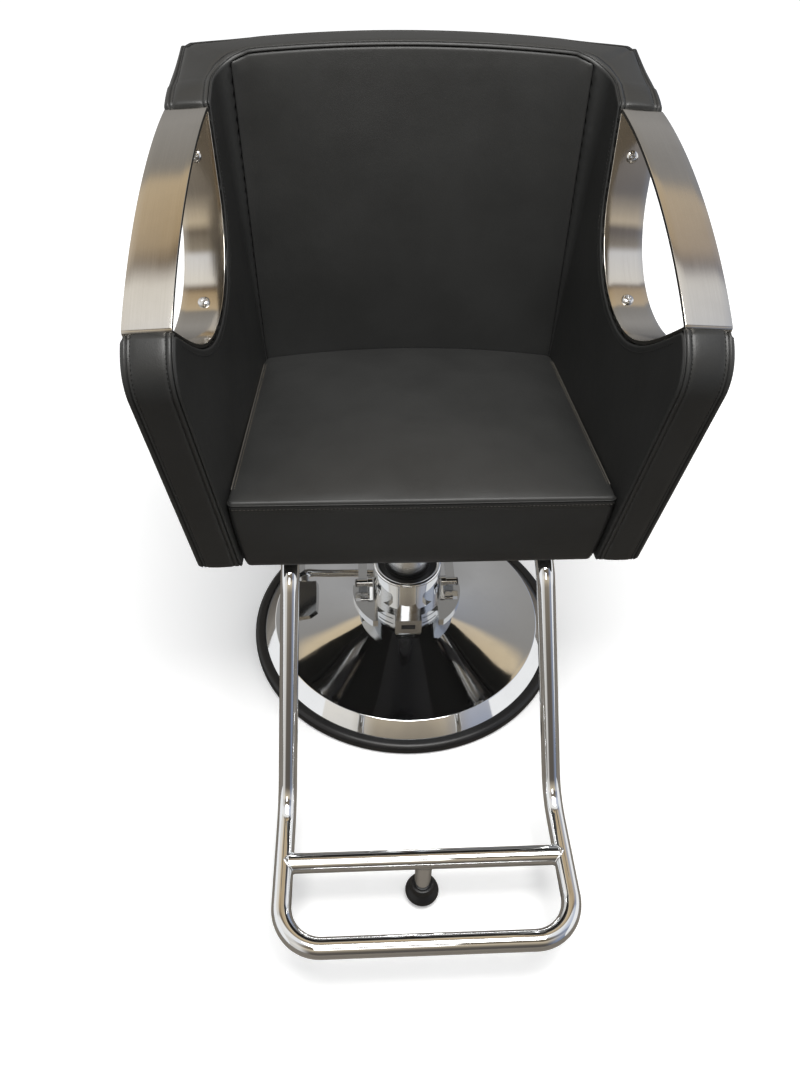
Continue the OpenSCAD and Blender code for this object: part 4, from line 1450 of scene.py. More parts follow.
    def build(self) -> None:
        """Makes the cover and its stitches."""
        slab, marks = self.slab()
        draft = slab.draft()
        draft.mirrored()
        cover = draft.build("bucket_cover", Body.SEAT, PALETTE.leather, weld=0.05)
        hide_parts("left_side_panel", "right_side_panel", "back_shell")
        self.sew(slab, marks)

    def sew(self, slab: Slab, marks: dict[str, int]) -> None:
        """Sews the band's two seams, and the rim of the cut-out on the inner face.

        Args:
            slab: The half sheet.
            marks: The marks along its outline.
        """
        stitches = Stitching("bucket_stitches", Body.SEAT, PALETTE.thread)
        front = slice(marks["front"] + 1, marks["cut"] - 1)
        top = slice(marks["wing"] + 2, None)
        valley = slice(marks["cut"] + 2, marks["wing"] - 2)
        for part in (front, top):
            for share, step in ((0.0, 10.5), (1.0, -12.0)):
                stitches.sew_both(*slab.track(share, step, -0.2, part))
        stitches.sew_both(*slab.track(0.0, 0.0, 9.0, valley))
        stitches.build()


@dataclass
class Padding:
    """Cloth simulation that fills a cushion: its seams are held, and the faces between them swell."""

    pressure: float = 4.0
    spare: float = 0.006
    cap: float = 9.0
    last: int = 20
    calm: int = 40
    crease: float = 0.16

    def fill(self, piece: bpy.types.Object, held: Array, room: Optional[Callable[[Array], Array]] = None) -> None:
        """Runs the simulation and keeps its result in the mesh.

        Args:
            piece: The cushion.
            held: How firmly each vertex is held, from 0 to 1.
            room: Moves the points back where a neighbour is in the way.
        """
        mesh = piece.data
        rest = np.empty(len(mesh.vertices) * 3)
        mesh.vertices.foreach_get("co", rest)
        rest = rest.reshape(-1, 3)
        group = piece.vertex_groups.new(name="held")
        for level in np.unique(np.round(held, 2)):
            if level > 0:
                group.add(np.flatnonzero(np.round(held, 2) == level).tolist(), float(level), "REPLACE")
        cloth = piece.modifiers.new("padding", "CLOTH")
        setup = cloth.settings
        setup.quality = 6
        setup.mass = 0.35
        setup.use_pressure = True
        setup.uniform_pressure_force = self.pressure
        setup.tension_stiffness = setup.compression_stiffness = 22.0
        setup.shear_stiffness = 9.0
        setup.bending_stiffness = 0.9
        setup.shrink_min = -self.spare
        setup.vertex_group_mass = "held"
        setup.effector_weights.gravity = 0.0
        cloth.collision_settings.use_collision = False
        cloth.point_cache.frame_start = 1
        cloth.point_cache.frame_end = self.last
        scene = bpy.context.scene
        for step in range(1, self.last + 1):
            scene.frame_set(step)
        swollen = piece.evaluated_get(bpy.context.evaluated_depsgraph_get())
        moved = np.empty(len(mesh.vertices) * 3)
        swollen.data.vertices.foreach_get("co", moved)
        shift = self.calmed(mesh, moved.reshape(-1, 3) - rest, held)
        reach = float(np.linalg.norm(shift, axis=1).max())
        shift *= min(1.0, self.cap * MM / max(reach, 1e-9))
        piece.modifiers.remove(cloth)
        piece.vertex_groups.remove(group)
        result = rest + shift
        if room is not None:
            result = room(result)
        mesh.vertices.foreach_set("co", result.ravel())
        mesh.update()
        scene.frame_set(1)
        LOG.info("%s: padding moved up to %.1f mm", piece.name, reach / MM)

    def calmed(self, mesh: bpy.types.Mesh, shift: Array, held: Array) -> Array:
        """Spreads the movement over the neighbours, so that only faint creases of the cloth stay.

        Args:
            mesh: The cushion's mesh.
            shift: The movement of each vertex.
            held: How firmly each vertex is held, from 0 to 1.

        Returns:
            The movement that is kept.
        """
        pairs = np.empty(len(mesh.edges) * 2, np.int64)
        mesh.edges.foreach_get("vertices", pairs)
        pairs = pairs.reshape(-1, 2)
        both = np.vstack([pairs, pairs[:, ::-1]])
        degree = np.maximum(np.bincount(both[:, 0], minlength=len(shift)), 1)[:, None]
        free = (held < 0.5)[:, None]
        even = shift.copy()
        for _ in range(self.calm):
            drawn = [np.bincount(both[:, 0], weights=part, minlength=len(shift)) for part in even[both[:, 1]].T]
            total = np.stack(drawn, axis=1)
            even = np.where(free, 0.4 * even + 0.6 * total / degree, even)
        return even + self.crease * (shift - even)


def coordinates(piece: bpy.types.Object) -> Array:
    """The piece's vertices, in millimetres.

    Args:
        piece: The object.

    Returns:
        One row for each vertex.
    """
    found = np.empty(len(piece.data.vertices) * 3)
    piece.data.vertices.foreach_get("co", found)
    return found.reshape(-1, 3) / MM


@dataclass
class SeatCushion:
    """The seat: a crowned top panel on a tall boxing, with a sewn front seam."""

    sizes: ChairSizes = SIZES
    side_gap: float = 0.8
    rear: float = 115.0
    low_z: float = 442.0
    roll: float = 4.5
    roll_reach: float = 16.0
    tuck: float = 11.0
    rear_points: int = 36

    def half(self, y: Array, z: Any) -> Array:
        """Half the seat's width."""
        return self.sizes.side_x(y, z) - self.side_gap

    def run(self, y: Array) -> Array:
        """How far back a place is, from 0 at the front to 1 at the rear."""
        return np.clip((y + self.sizes.seat_front) / (self.rear + self.sizes.seat_front), 0.0, 1.0)

    def near(self, x: Array, y: Array, depth: Array) -> Array:
        """The top.

        Args:
            x: Places across the chair.
            y: Places along the chair, forwards below zero.
            depth: The distance inside the outline.

        Returns:
            Points in space.
        """
        s = self.sizes
        run = self.run(y)
        across = np.clip(x / self.half(y, s.seat_h), -1.0, 1.0)
        crown = (s.seat_crown - 1.5) * (1.0 - across**2) * np.sin(math.pi / 2 * np.minimum(1.0, run / 0.45))
        roll = self.roll * (1.0 - np.exp(-np.maximum(depth, 0.0) / self.roll_reach))
        z = s.seat_h - s.seat_fall * run + crown + roll
        return np.stack([x, y, z], axis=-1)

    def far(self, x: Array, y: Array, depth: Array) -> Array:
        """The underside, a little narrower and further back at the front.

        Args:
            x: Places across the chair.
            y: Places along the chair, forwards below zero.
            depth: Not used.

        Returns:
            Points in space.
        """
        s = self.sizes
        narrow = self.half(y, self.low_z) / self.half(y, s.seat_h)
        back = self.tuck * (1.0 - self.run(y))
        return np.stack([x * narrow, y + back, np.full_like(x, self.low_z)], axis=-1)

    def slab(self) -> Slab:
        """The half sheet.

        Returns:
            The sheet.
        """
        s = self.sizes
        front, rear = -s.seat_front, self.rear
        corners = [
            (0.0, front),
            (float(self.half(np.float64(front), s.seat_h)) - 2.5, front + 1.0),
            (float(self.half(np.float64(rear), s.seat_h)), rear),
            (0.0, rear),
        ]
        line = filled(rounded(corners, [0.0, 7.0, 12.0, 0.0], 0.25), 8.0)
        self.is_front = line[:, 1] < front + 9.0
        return Slab(
            outline=line,
            near=self.near,
            far=self.far,
            near_edge=4.0,
            far_edge=11.0,
            swell=3.2,
            swelling=self.is_front.astype(float),
            thick=s.boxing_h,
            steps=16,
            # Each seam: share, step, groove depth, and painted shade in its groove.
            seams=(Seam(0.0, 4.8, 2.0, 1.0), Seam(0.0, 10.5, 0.5, 0.3)),
            sewn=np.where(self.is_front, 1.0, 0.4),
            pucker=0.1,
        )

    def build(self) -> None:
        """Makes the cushion, fills it and sews it."""
        slab = self.slab()
        draft = slab.draft()
        draft.mirrored()
        cushion = draft.build("seat_pad", Body.SEAT, PALETTE.leather, weld=0.05)
        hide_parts("seat_cushion")
        Padding(cap=6.0).fill(cushion, self.held(coordinates(cushion)), self.room)
        self.sew(slab)

    def sew(self, slab: Slab) -> None:
        """Sews the front seam and the side seams, the sides in pale thread with painted glints, and lays a lighter
        edging cord along the sides as a painted highlight of the rolled edge.

        Args:
            slab: The half sheet.
        """
        front_end = int(self.is_front.sum())
        stitches = Stitching("seat_stitches", Body.SEAT, PALETTE.seam_thread)
        stitches.sew_both(*slab.track(0.0, 10.5, -0.6, slice(0, front_end)))
        stitches.build()
        sides = slice(front_end + 2, len(slab.outline) - self.rear_points)
        # Side stitches in pale thread, partly painted glints.
        fine = Stitching("seat_side_stitches", Body.SEAT, PALETTE.pale_thread, radius=0.3, length=2.2, pitch=4.6)
        fine.sew_both(*slab.track(0.0, 0.0, 5.2, sides))
        fine.build()
        # Edging cord in lighter leather: a painted highlight along the rolled side edge.
        edge, _ = slab.track(0.0, 0.9, 1.0, sides)
        edging = tube_draft(filled(edge, 12.0), 0.95, 10)
        edging.mirrored()
        edging.build("seat_edging", Body.SEAT, PALETTE.edging)

    def held(self, points: Array) -> Array:
        """How firmly each point is held: fully at seams, sides, rear and underside.

        Args:
            points: The vertices, in millimetres.

        Returns:
            A share from 0 to 1 for each point.
        """
        x, y, z = points.T
        s = self.sizes
        top = self.near(np.abs(x), y, np.full(len(x), 30.0))[:, 2]
        edge = np.minimum(self.half(y, s.seat_h) - np.abs(x), np.minimum(y + s.seat_front, self.rear - y))
        on_top = (top - z < 6.0) & (edge > 9.0)
        on_front = (y < -s.seat_front + 14.0) & (z < s.seat_h - 26.0) & (z > self.low_z + 16.0)
        on_front &= np.abs(x) < self.half(y, z) - 12.0
        return 1.0 - np.maximum(on_top, on_front)

    def room(self, points: Array) -> Array:
        """Keeps the filled cushion between the side panels and off the floor of the bucket.

        Args:
            points: The vertices after the filling, in metres.

        Returns:
            The points, moved where they have to be.
        """
        kept = points.copy()
        limit = (self.half(points[:, 1] / MM, points[:, 2] / MM) + 0.2) * MM
        kept[:, 0] = np.clip(points[:, 0], -limit, limit)
        kept[:, 1] = np.maximum(points[:, 1], -(self.sizes.seat_front + 7.0) * MM)
        return kept


@dataclass
class BackCushion:
    """The backrest's padded face, between the wings and under the top band."""

    cover: BucketCover
    sizes: ChairSizes = SIZES
    low: float = 71.0
    high: float = 530.0
    thick: float = 31.0
    bow: float = 6.5
    roll: float = 2.6
    roll_reach: float = 9.0
    arch_half: float = 265.0

    def near(self, s: Array, w: Array, depth: Array) -> Array:
        """The bowed face.

        Args:
            s: Places round the pattern.
            w: Heights along the panel.
            depth: The distance inside the outline.

        Returns:
            Points in space.
        """
        face = self.cover.inner(s, w)
        edge_x = self.cover.inner(np.full_like(s, self.cover.crease), w)[..., 0]
        across = np.clip(face[..., 0] / edge_x, -1.0, 1.0)
        up = np.clip((w - self.low) / (self.high - self.low), 0.0, 1.0)
        bow = self.bow * (1.0 - across**2) * np.sin(math.pi * up) ** 0.8
        roll = self.roll * (1.0 - np.exp(-np.maximum(depth, 0.0) / self.roll_reach))
        out = np.zeros_like(face)
        out[..., 1] = -(bow + roll)
        return face + out

    def far(self, s: Array, w: Array, depth: Array) -> Array:
        """The flat rear, against the shell.

        Args:
            s: Places round the pattern.
            w: Heights along the panel.
            depth: Not used.

        Returns:
            Points in space.
        """
        face = self.cover.inner(s, w)
        rear = self.sizes.face_y(face[..., 2]) + self.thick
        return np.stack([face[..., 0], rear, face[..., 2]], axis=-1)

    def slab(self) -> Slab:
        """The half sheet.

        Returns:
            The sheet.
        """
        rail = self.cover.rail()
        left = self.cover.crease + 1.0
        top = rail[rail[:, 0] > left + 5.0] - (0.0, 5.2)
        corner = [(left, top[0][1] - 6.0), (left + 0.9, top[0][1] - 2.6), (left + 2.8, top[0][1] - 0.8)]
        sides = np.arange(self.low + 10.0, top[0][1] - 9.0, 8.0)
        side = np.column_stack([np.full(len(sides), left), sides])
        foot_s = np.arange(self.cover.half_back, left + 9.0, -8.0)
        foot = np.column_stack([foot_s, np.full(len(foot_s), self.low)])
        bend = [(left + 5.0, self.low + 1.0), (left + 1.0, self.low + 5.0)]
        line = np.vstack([foot, bend, side, corner, top])
        return Slab(outline=line, near=self.near, far=self.far, near_edge=3.0, far_edge=6.0, steps=5)

    def build(self) -> None:
        """Makes and fills the cushion."""
        draft = self.slab().draft()
        draft.mirrored()
        cushion = draft.build("back_pad", Body.SEAT, PALETTE.leather, weld=0.05)
        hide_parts("back_cushion")
        Padding(cap=5.0, spare=0.01).fill(cushion, self.held(coordinates(cushion)))

    def held(self, points: Array) -> Array:
        """How firmly each point is held: fully round the edge and at the rear.

        Args:
            points: The vertices, in millimetres.

        Returns:
            A share from 0 to 1 for each point.
        """
        x, y, z = points.T
        sizes = self.sizes
        w = (z - sizes.panel_low) / math.cos(sizes.lean)
        edge_x = self.cover.inner(np.full(len(x), self.cover.crease), w)[:, 0]
        top = sizes.back_top - sizes.back_arch * (x / self.arch_half) ** 2 - 9.0
        bottom = sizes.panel_low + self.low
        edge = np.minimum(edge_x - np.abs(x), np.minimum(top - z, z - bottom))
        front = y < sizes.face_y(z) + 2.0
        return 1.0 - (front & (edge > 8.0)).astype(float)


# Armrests


@dataclass
class ArmStrap:
    """One armrest: a closed loop of flat steel bar."""

    side: int
    sizes: ChairSizes = SIZES
    bend: float = 3.4
    ease: float = 0.7

    def loop(self) -> Array:
        """The bar's centre line in the plane of the side panel.

        Returns:
            The closed line, as (u, w).
        """
        s = self.sizes
        low = self.shifted(s.cut_line, s.rest_gap + s.strap_t / 2)
        high = self.shifted(s.arm_line, -s.strap_t / 2)
        front = self.crossing(low[1], low[0], high[1], high[0])
        rear = self.crossing(low[-2], low[-1], high[-2], high[-1])
        low, high = resampled(low, 5.0), resampled(high, 5.0)
        line = [*low[2:-2], rear, *high[-3:2:-1], front]
        radii = [0.0] * (len(line) - 1)
        radii[len(low) - 4] = self.bend
        front_bend = rounded([line[-2], front, line[0]], [0.0, self.bend, 0.0])
        return np.vstack([rounded(line[:-1], radii)[:-1], front_bend[:-1]])

    @staticmethod
    def shifted(line: Array, by: float) -> Array:
        """The line moved sideways, to its left."""
        way = unit(np.gradient(line, axis=0))
        return line + by * np.stack([-way[:, 1], way[:, 0]], axis=1)

    @staticmethod
    def crossing(a: Array, b: Array, c: Array, d: Array) -> Array:
        """Where the line through a and b meets the line through c and d.

        Args:
            a: A point of the first line.
            b: Another point of it.
            c: A point of the second line.
            d: Another point of it.

        Returns:
            The point.
        """
        r, q = b - a, d - c
        t = ((c - a)[0] * q[1] - (c - a)[1] * q[0]) / (r[0] * q[1] - r[1] * q[0])
        return a + r * t

    def section(self) -> Array:
        """The bar's section: width outwards, thickness across, with eased edges.

        Returns:
            The section's points, as (across, thickness).
        """
        w0, w1 = (self.sizes.panel_t - self.sizes.strap_w) / 2, self.sizes.panel_t + 2.5
        h = self.sizes.strap_t / 2
        corners = [(w0, -h), (w1, -h), (w1, h), (w0, h)]
        ring = ring_profile(corners, [self.ease] * 4)
        flat = []
        for a, b in zip(ring, np.roll(ring, -1, axis=0)):
            count = 6 if np.linalg.norm(b - a) > 20.0 else 1
            flat.extend(a + (b - a) * i / count for i in range(count))
        return np.array(flat)

    def build(self) -> None:
        """Makes the armrest."""
        line = self.loop()
        way = unit(np.roll(line, -1, axis=0) - np.roll(line, 1, axis=0))
        out = np.stack([-way[:, 1], way[:, 0]], axis=1)
        across, thick = self.section().T
        flat = line[:, None] + out[:, None] * thick[:, None]
        across, thick, along = np.broadcast_arrays(across, thick, lengths(line)[:, None])
        points = self.sizes.panel(flat[..., 0], flat[..., 1], across)
        points[..., 0] *= self.side
        draft = Draft()
        grid = draft.add(points, grain=np.stack([along, across, thick], axis=-1))
        draft.weave(grid, round_rows=True, round_columns=True)
        name = "left" if self.side < 0 else "right"
        strap = draft.build(f"{name}_armrest", Body.SEAT, PALETTE.strap, sharp=35.0)
        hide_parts(f"{name}_arm_strap")


@dataclass
class ArmBolts:
    """The four pan-head bolts in the armrests, each with a cross recess."""

    sizes: ChairSizes = SIZES
    head_r: float = 8.0
    head_h: float = 4.6
    shank_r: float = 3.9
    reach: float = 38.0
    slot_half: float = 1.5
    slot_arm: float = 4.2
    slot_depth: float = 2.6

    def places(self) -> list[tuple[Array, Array]]:
        """Where the heads sit on the lower run, and its direction there, in the panel's plane.

        Returns:
            The place and the direction of each head.
        """
        cut = self.sizes.cut_line
        riser, crest = cut[-12], cut[-1]
        valley = bezier(self.sizes.rear_pulls, 11)
        second = valley[2] + 0.4 * (valley[3] - valley[2])
        return [(riser + (crest - riser) * 0.44, unit(crest - riser)), (second, unit(valley[3] - valley[2]))]

    def build(self) -> None:
        """Makes all four bolts one piece."""
        draft = Draft()
        for place, way in self.places():
            self.bolt(draft, place, way)
        draft.mirrored()
        bolts = draft.build("armrest_bolts", Body.SEAT, PALETTE.fastener, sharp=40.0)
        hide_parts("arm_bolts")

    def slot(self, along: Array, across: Array) -> Array:
        """How deep one arm of the cross recess is at each point of a head, from 0 to 1."""
        wide = smooth_step(self.slot_half - np.abs(across), 0.0, 0.7)
        return wide * smooth_step(self.slot_arm - np.abs(along), 0.0, 1.2)

    def bolt(self, draft: Draft, place: Array, way: Array) -> None:
        """Adds one bolt, square to the lower run: a domed head with its recess, and a shank.

        Args:
            draft: The piece being made.
            place: Where the head sits on the lower run, in the panel's plane.
            way: The run's direction there.
        """
        radii = np.concatenate([np.linspace(0.2, 1.0, 22) * self.head_r, [self.head_r + 0.25, self.head_r + 0.1]])
        turn = np.linspace(0.0, 2 * math.pi, 72, endpoint=False)
        r, a = np.meshgrid(radii, turn, indexing="ij")
        x, y = r * np.cos(a), r * np.sin(a)
        dome = self.head_h * np.sqrt(np.maximum(0.0, 1.0 - (r / (self.head_r + 0.3)) ** 2.6)) ** 0.8
        cross = np.maximum(self.slot(y, x), self.slot(x, y))
        height = dome - cross * self.slot_depth * (1.0 - np.clip(r / 6.0, 0.0, 0.8)) + 0.25
        height[-1] = 0.25
        start = self.sizes.rest_gap + self.sizes.strap_t
        shank_r = np.array([1.0, 1.0, 0.6])[:, None] * self.shank_r
        shank_z = np.array([0.3, start - self.reach, start - self.reach - 3.0])[:, None]
        left = np.array([-way[1], way[0]])
        for px, py, pz in ((x, y, height), (shank_r * np.cos(turn), shank_r * np.sin(turn), shank_z)):
            flat = place + px[..., None] * way + (pz + start)[..., None] * left
            grid = draft.add(self.sizes.panel(flat[..., 0], flat[..., 1], self.sizes.panel_t / 2 + py))
            draft.weave(grid, round_columns=True)
            draft.cap(grid[0])
            draft.cap(grid[-1])


# Pump and base


@dataclass
class PumpBase:
    """The round base and the pump's visible tubes, turned with small eased edges."""

    base_r: float = 300.0
    ring_w: float = 19.0
    ring_h: float = 22.0
    bevel_r: float = 258.0
    bevel_h: float = 44.0
    cone_r: float = 74.0
    cone_h: float = 72.0
    jacket_r: float = 64.0
    bore_r: float = 54.0
    jacket_foot: float = 20.0
    jacket_top: float = 184.0
    sleeve_r: float = 41.0
    sleeve_wall: float = 3.0
    sleeve_foot: float = 24.0
    sleeve_top: float = 366.0
    sheet: float = 2.0
    flare: float = 1.7

    def build(self) -> None:
        """Makes the base's cover, its rubber ring, and the pump's jacket, ring and sleeve."""
        self.cover()
        self.ring()
        self.jacket()
        self.wiper()
        self.sleeve()

    def cover(self) -> None:
        """The chrome cover: a flat rim, a bevel and a long cone up to the pump."""
        edge = self.base_r - self.ring_w
        outer = [
            (self.jacket_r + 0.3, self.cone_h),
            (self.cone_r, self.cone_h),
            (self.bevel_r, self.bevel_h),
            (edge, 20.5),
            (edge, 2.0),
        ]
        share = np.linspace(0.0, 1.0, 26)[1:-1]
        radius = self.cone_r + (self.bevel_r - self.cone_r) * share
        flare = np.column_stack([radius, self.bevel_h + (self.cone_h - self.bevel_h) * (1 - share) ** self.flare])
        radii = [0.0, 3.0, *([0.0] * len(flare)), 3.0, 1.2, 0.0]
        line = rounded([*outer[:2], *flare, *outer[2:]], radii, 0.08)
        inner = [
            (edge - self.sheet, 2.0),
            (edge - self.sheet, 18.5),
            (self.bevel_r - self.sheet, self.bevel_h - self.sheet),
            *(flare[::-1] - (0.0, self.sheet)),
            (self.cone_r - self.sheet, self.cone_h - self.sheet),
            (self.jacket_r + 0.3, self.cone_h - self.sheet),
        ]
        profile = filled(np.vstack([line, inner]), 16.0)
        cover = lathe_draft(profile, 240).build("base_shell", Body.BASE, PALETTE.chrome, sharp=50.0)
        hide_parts("base_cover")

    def ring(self) -> None:
        """The rubber ring round the rim, with a rolled lip on its inside and a parting line outside."""
        inside, outside, top = self.base_r - self.ring_w + 0.3, self.base_r, self.ring_h
        parting = [(outside, 10.2), (outside - 0.5, 10.7), (outside, 11.2)]
        corners = [(inside, 0.0), (outside, 0.0), *parting, (outside, top), (inside, top)]
        line = ring_profile(corners, [1.0, 7.0, 0.2, 0.2, 0.2, 9.0, 2.2])
        ring = lathe_draft(line, 240).build("rubber_rim", Body.BASE, PALETTE.rubber, sharp=50.0)
        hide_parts("rim_ring")

    def jacket(self) -> None:
        """The chrome jacket, with a rolled rim."""
        rim = 0.49 * (self.jacket_r - self.bore_r)
        profile = self.tube(self.bore_r, self.jacket_r, self.jacket_foot, self.jacket_top, [0.5, 0.5, rim, rim])
        jacket = lathe_draft(filled(profile, 14.0)).build("pump_shell", Body.BASE, PALETTE.chrome, sharp=50.0)
        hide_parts("pump_jacket")

    def wiper(self) -> None:
        """The black ring in the mouth of the jacket, dished towards the sleeve."""
        top, inside = self.jacket_top - 4.0, self.sleeve_r + 0.3
        foot = [(inside, top - 12.0), (self.bore_r, top - 12.0), (self.bore_r, top)]
        dish = [(self.bore_r - 3.0, top - 0.2), (self.sleeve_r + 2.5, top - 2.6), (inside, top - 1.0)]
        line = ring_profile([*foot, *dish], [0.4, 0.4, 0.3, 1.5, 1.2, 0.3])
        wiper = lathe_draft(line).build("mouth_ring", Body.BASE, PALETTE.rubber, sharp=50.0)
        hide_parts("wiper_ring")

    def sleeve(self) -> None:
        """The satin sleeve that slides out of the jacket."""
        bore = self.sleeve_r - self.sleeve_wall
        profile = self.tube(bore, self.sleeve_r, self.sleeve_foot, self.sleeve_top, [0.5, 0.8, 0.8, 0.5])
        sleeve = lathe_draft(filled(profile, 18.0)).build("pump_sleeve", Body.RAM, PALETTE.sleeve, sharp=50.0)
        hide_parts("ram_sleeve")

    @staticmethod
    def tube(bore: float, radius: float, foot: float, top: float, eased: Sequence[float]) -> Array:
        """The profile of an upright tube with eased corners."""
        return ring_profile([(bore, foot), (radius, foot), (radius, top), (bore, top)], eased)


@dataclass
class Footrest:
    """The bent tube under the seat, its crossbar, post and rubber foot."""

    tube_r: float = 14.0
    half_leg: float = 189.0
    half_foot: float = 203.5
    leg_back: float = 60.0
    run_z: float = 416.0
    leg_y: float = 235.0
    knee_y: float = 449.0
    foot_z: float = 117.0
    foot_front: float = 661.0
    cross_y: float = 543.0
    bend: float = 70.0
    corner: float = 58.0
    post_r: float = 12.5

    def build(self) -> None:
        """Makes the tube, the crossbar with its welds, the post and the rubber foot."""
        self.frame()
        self.crossbar()
        self.post()
        self.foot()

    def frame(self) -> None:
        """Both legs and the front bar, one bent tube."""
        right = [
            (self.half_leg, self.leg_back, self.run_z),
            (self.half_leg, -self.leg_y, self.run_z),
            (self.half_foot, -self.knee_y, self.foot_z),
            (self.half_foot, -self.foot_front, self.foot_z),
        ]
        corners = right + [(-x, y, z) for x, y, z in reversed(right)]
        radii = [0.0, self.bend, self.bend, self.corner]
        line = filled(rounded(corners, radii + radii[::-1], 0.06), 22.0)
        tube = tube_draft(line, self.tube_r, 56).build("footrest_frame", Body.SEAT, PALETTE.chrome, sharp=50.0)
        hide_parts("footrest_tube")

    def crossbar(self) -> None:
        """The crossbar, with a small weld bead that follows the saddle between it and each leg."""
        r = self.tube_r
        reach = self.half_foot - r * 0.55
        ends = [(-reach, -self.cross_y, self.foot_z), (reach, -self.cross_y, self.foot_z)]
        draft = tube_draft(filled(np.array(ends), 20.0), r, 56)
        for side in (-1.0, 1.0):
            turn = np.linspace(0.0, 2 * math.pi, 72, endpoint=False)
            out = np.stack([0 * turn, np.cos(turn), np.sin(turn)], axis=1)
            centre = out * r + (0.0, -self.cross_y, self.foot_z)
            centre[:, 0] = side * (self.half_foot - np.sqrt(np.maximum(0.0, r**2 - (r * 0.985 * np.sin(turn)) ** 2)))
            self.bead(draft, centre, out, np.array([-side, 0.0, 0.0]), 2.0 + 0.25 * np.sin(turn * 17.0))
        bar = draft.build("footrest_bar", Body.SEAT, PALETTE.chrome, sharp=50.0)
        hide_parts("footrest_crossbar")

    def post(self) -> None:
        """The short post under the crossbar, with its weld bead."""
        ends = [(0.0, -self.cross_y, 20.0), (0.0, -self.cross_y, self.foot_z - self.tube_r * 0.6)]
        draft = tube_draft(filled(np.array(ends), 12.0), self.post_r, 48)
        turn = np.linspace(0.0, 2 * math.pi, 72, endpoint=False)
        out = np.stack([np.cos(turn), np.sin(turn), 0 * turn], axis=1)
        centre = out * self.post_r + (0.0, -self.cross_y, self.foot_z)
        centre[:, 2] -= np.sqrt(np.maximum(0.0, self.tube_r**2 - (self.post_r * np.sin(turn)) ** 2))
        self.bead(draft, centre, out, np.array([0.0, 0.0, -1.0]), 1.8 + 0.2 * np.sin(turn * 13.0))
        post = draft.build("footrest_leg", Body.SEAT, PALETTE.chrome, sharp=50.0)
        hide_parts("footrest_post")

    @staticmethod
    def bead(draft: Draft, centre: Array, out: Array, along: Array, size: Array) -> None:
        """Adds a closed weld bead.

        Args:
            draft: The piece that it belongs to.
            centre: The line that it follows.
            out: The direction away from the tube at each point of the line.
            along: The tube's own direction.
            size: The bead's radius at each point.
        """
        spin = np.linspace(0.0, 2 * math.pi, 10, endpoint=False)[:, None]
        spoke = np.cos(spin) * out[:, None] * 0.6 + np.sin(spin) * along
        draft.weave(draft.add(centre[:, None] + size[:, None, None] * spoke), round_rows=True, round_columns=True)

    def foot(self) -> None:
        """The rubber bell under the post."""
        socket = [(12.6, 22.0), (0.5, 22.0), (0.5, 11.5)]
        sole = [(17.0, 11.5), (19.0, 9.0), (22.4, 9.0), (26.0, 13.8)]
        neck = [(24.4, 19.8), (18.0, 27.6), (17.0, 39.0), (12.7, 39.0)]
        profile = ring_profile([*socket, *sole, *neck], [0.3, 0.3, 0.3, 1.5, 0.8, 2.0, 2.4, 6.0, 5.0, 1.6, 0.8])
        draft = lathe_draft(profile, 96, (0.0, -self.cross_y, 0.0))
        foot = draft.build("bell_foot", Body.SEAT, PALETTE.rubber, sharp=50.0)
        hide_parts("post_foot")


# Nodes that keep their solid shape


@dataclass(frozen=True)
class Hardware:
    """The frame's own nodes that stay in view, with the finish of each."""

    finishes: tuple[tuple[Finish, tuple[str, ...]], ...] = (
        (PALETTE.paint, ("base_plate", "pump_foot", "pin_clips", "swivel_hub", "mount_plate", "footrest_clamps")),
        (PALETTE.plain, ("foot_bolts", "oil_cylinder", "pivot_pins", "piston_rod", "piston_head")),
        (PALETTE.plain, ("mount_bolts", "clamp_screws")),
        (PALETTE.casting, ("pump_collar", "pedal_yoke", "pedal_pad")),
        (PALETTE.bronze, ("rod_gland", "thrust_washer")),
        (PALETTE.plastic, ("boss_plug", "tube_plugs")),
        (PALETTE.fastener, ("collar_bolts",)),
        (PALETTE.chrome, ("pedal_lever",)),
        (PALETTE.sleeve, ("ram_cap",)),
        (PALETTE.board, ("seat_board",)),
    )
    crisp: float = 28.0

    def dress(self) -> None:
        """Gives each node its finish and smooth shading with crisp edges."""
        for finish, names in self.finishes:
            for node in (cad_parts[name] for name in names):
                material = finish.material()
                if not node.material_slots:
                    node.data.materials.append(material)
                for slot in node.material_slots:
                    slot.material = material
                node.data.polygons.foreach_set("use_smooth", [True] * len(node.data.polygons))
                node.data.set_sharp_from_angle(angle=math.radians(self.crisp))
            LOG.info("%s: %s", finish.name, ", ".join(names))


# Studio


# The room that polished surfaces show: colours by place on the arch, from the wall behind the chair over the
# ceiling to the wall in front of it.
ROOM = (
    (0.0, (0.09, 0.085, 0.08)),
    (0.1, (0.24, 0.235, 0.23)),
    (0.2, (0.38, 0.375, 0.37)),
    (0.3, (0.29, 0.28, 0.265)),
    (0.315, (0.66, 0.54, 0.37)),
    (0.4, (0.52, 0.4, 0.25)),
    (0.425, (0.15, 0.105, 0.065)),
    (0.45, (1.0, 0.98, 0.94)),
    (0.59, (0.9, 0.92, 0.97)),
    (0.62, (0.3, 0.26, 0.2)),
    (0.71, (0.12, 0.09, 0.06)),
    (0.75, (0.7, 0.6, 0.44)),
    (0.83, (0.36, 0.31, 0.24)),
    (0.9, (0.14, 0.12, 0.1)),
    (1.0, (0.09, 0.085, 0.08)),
)


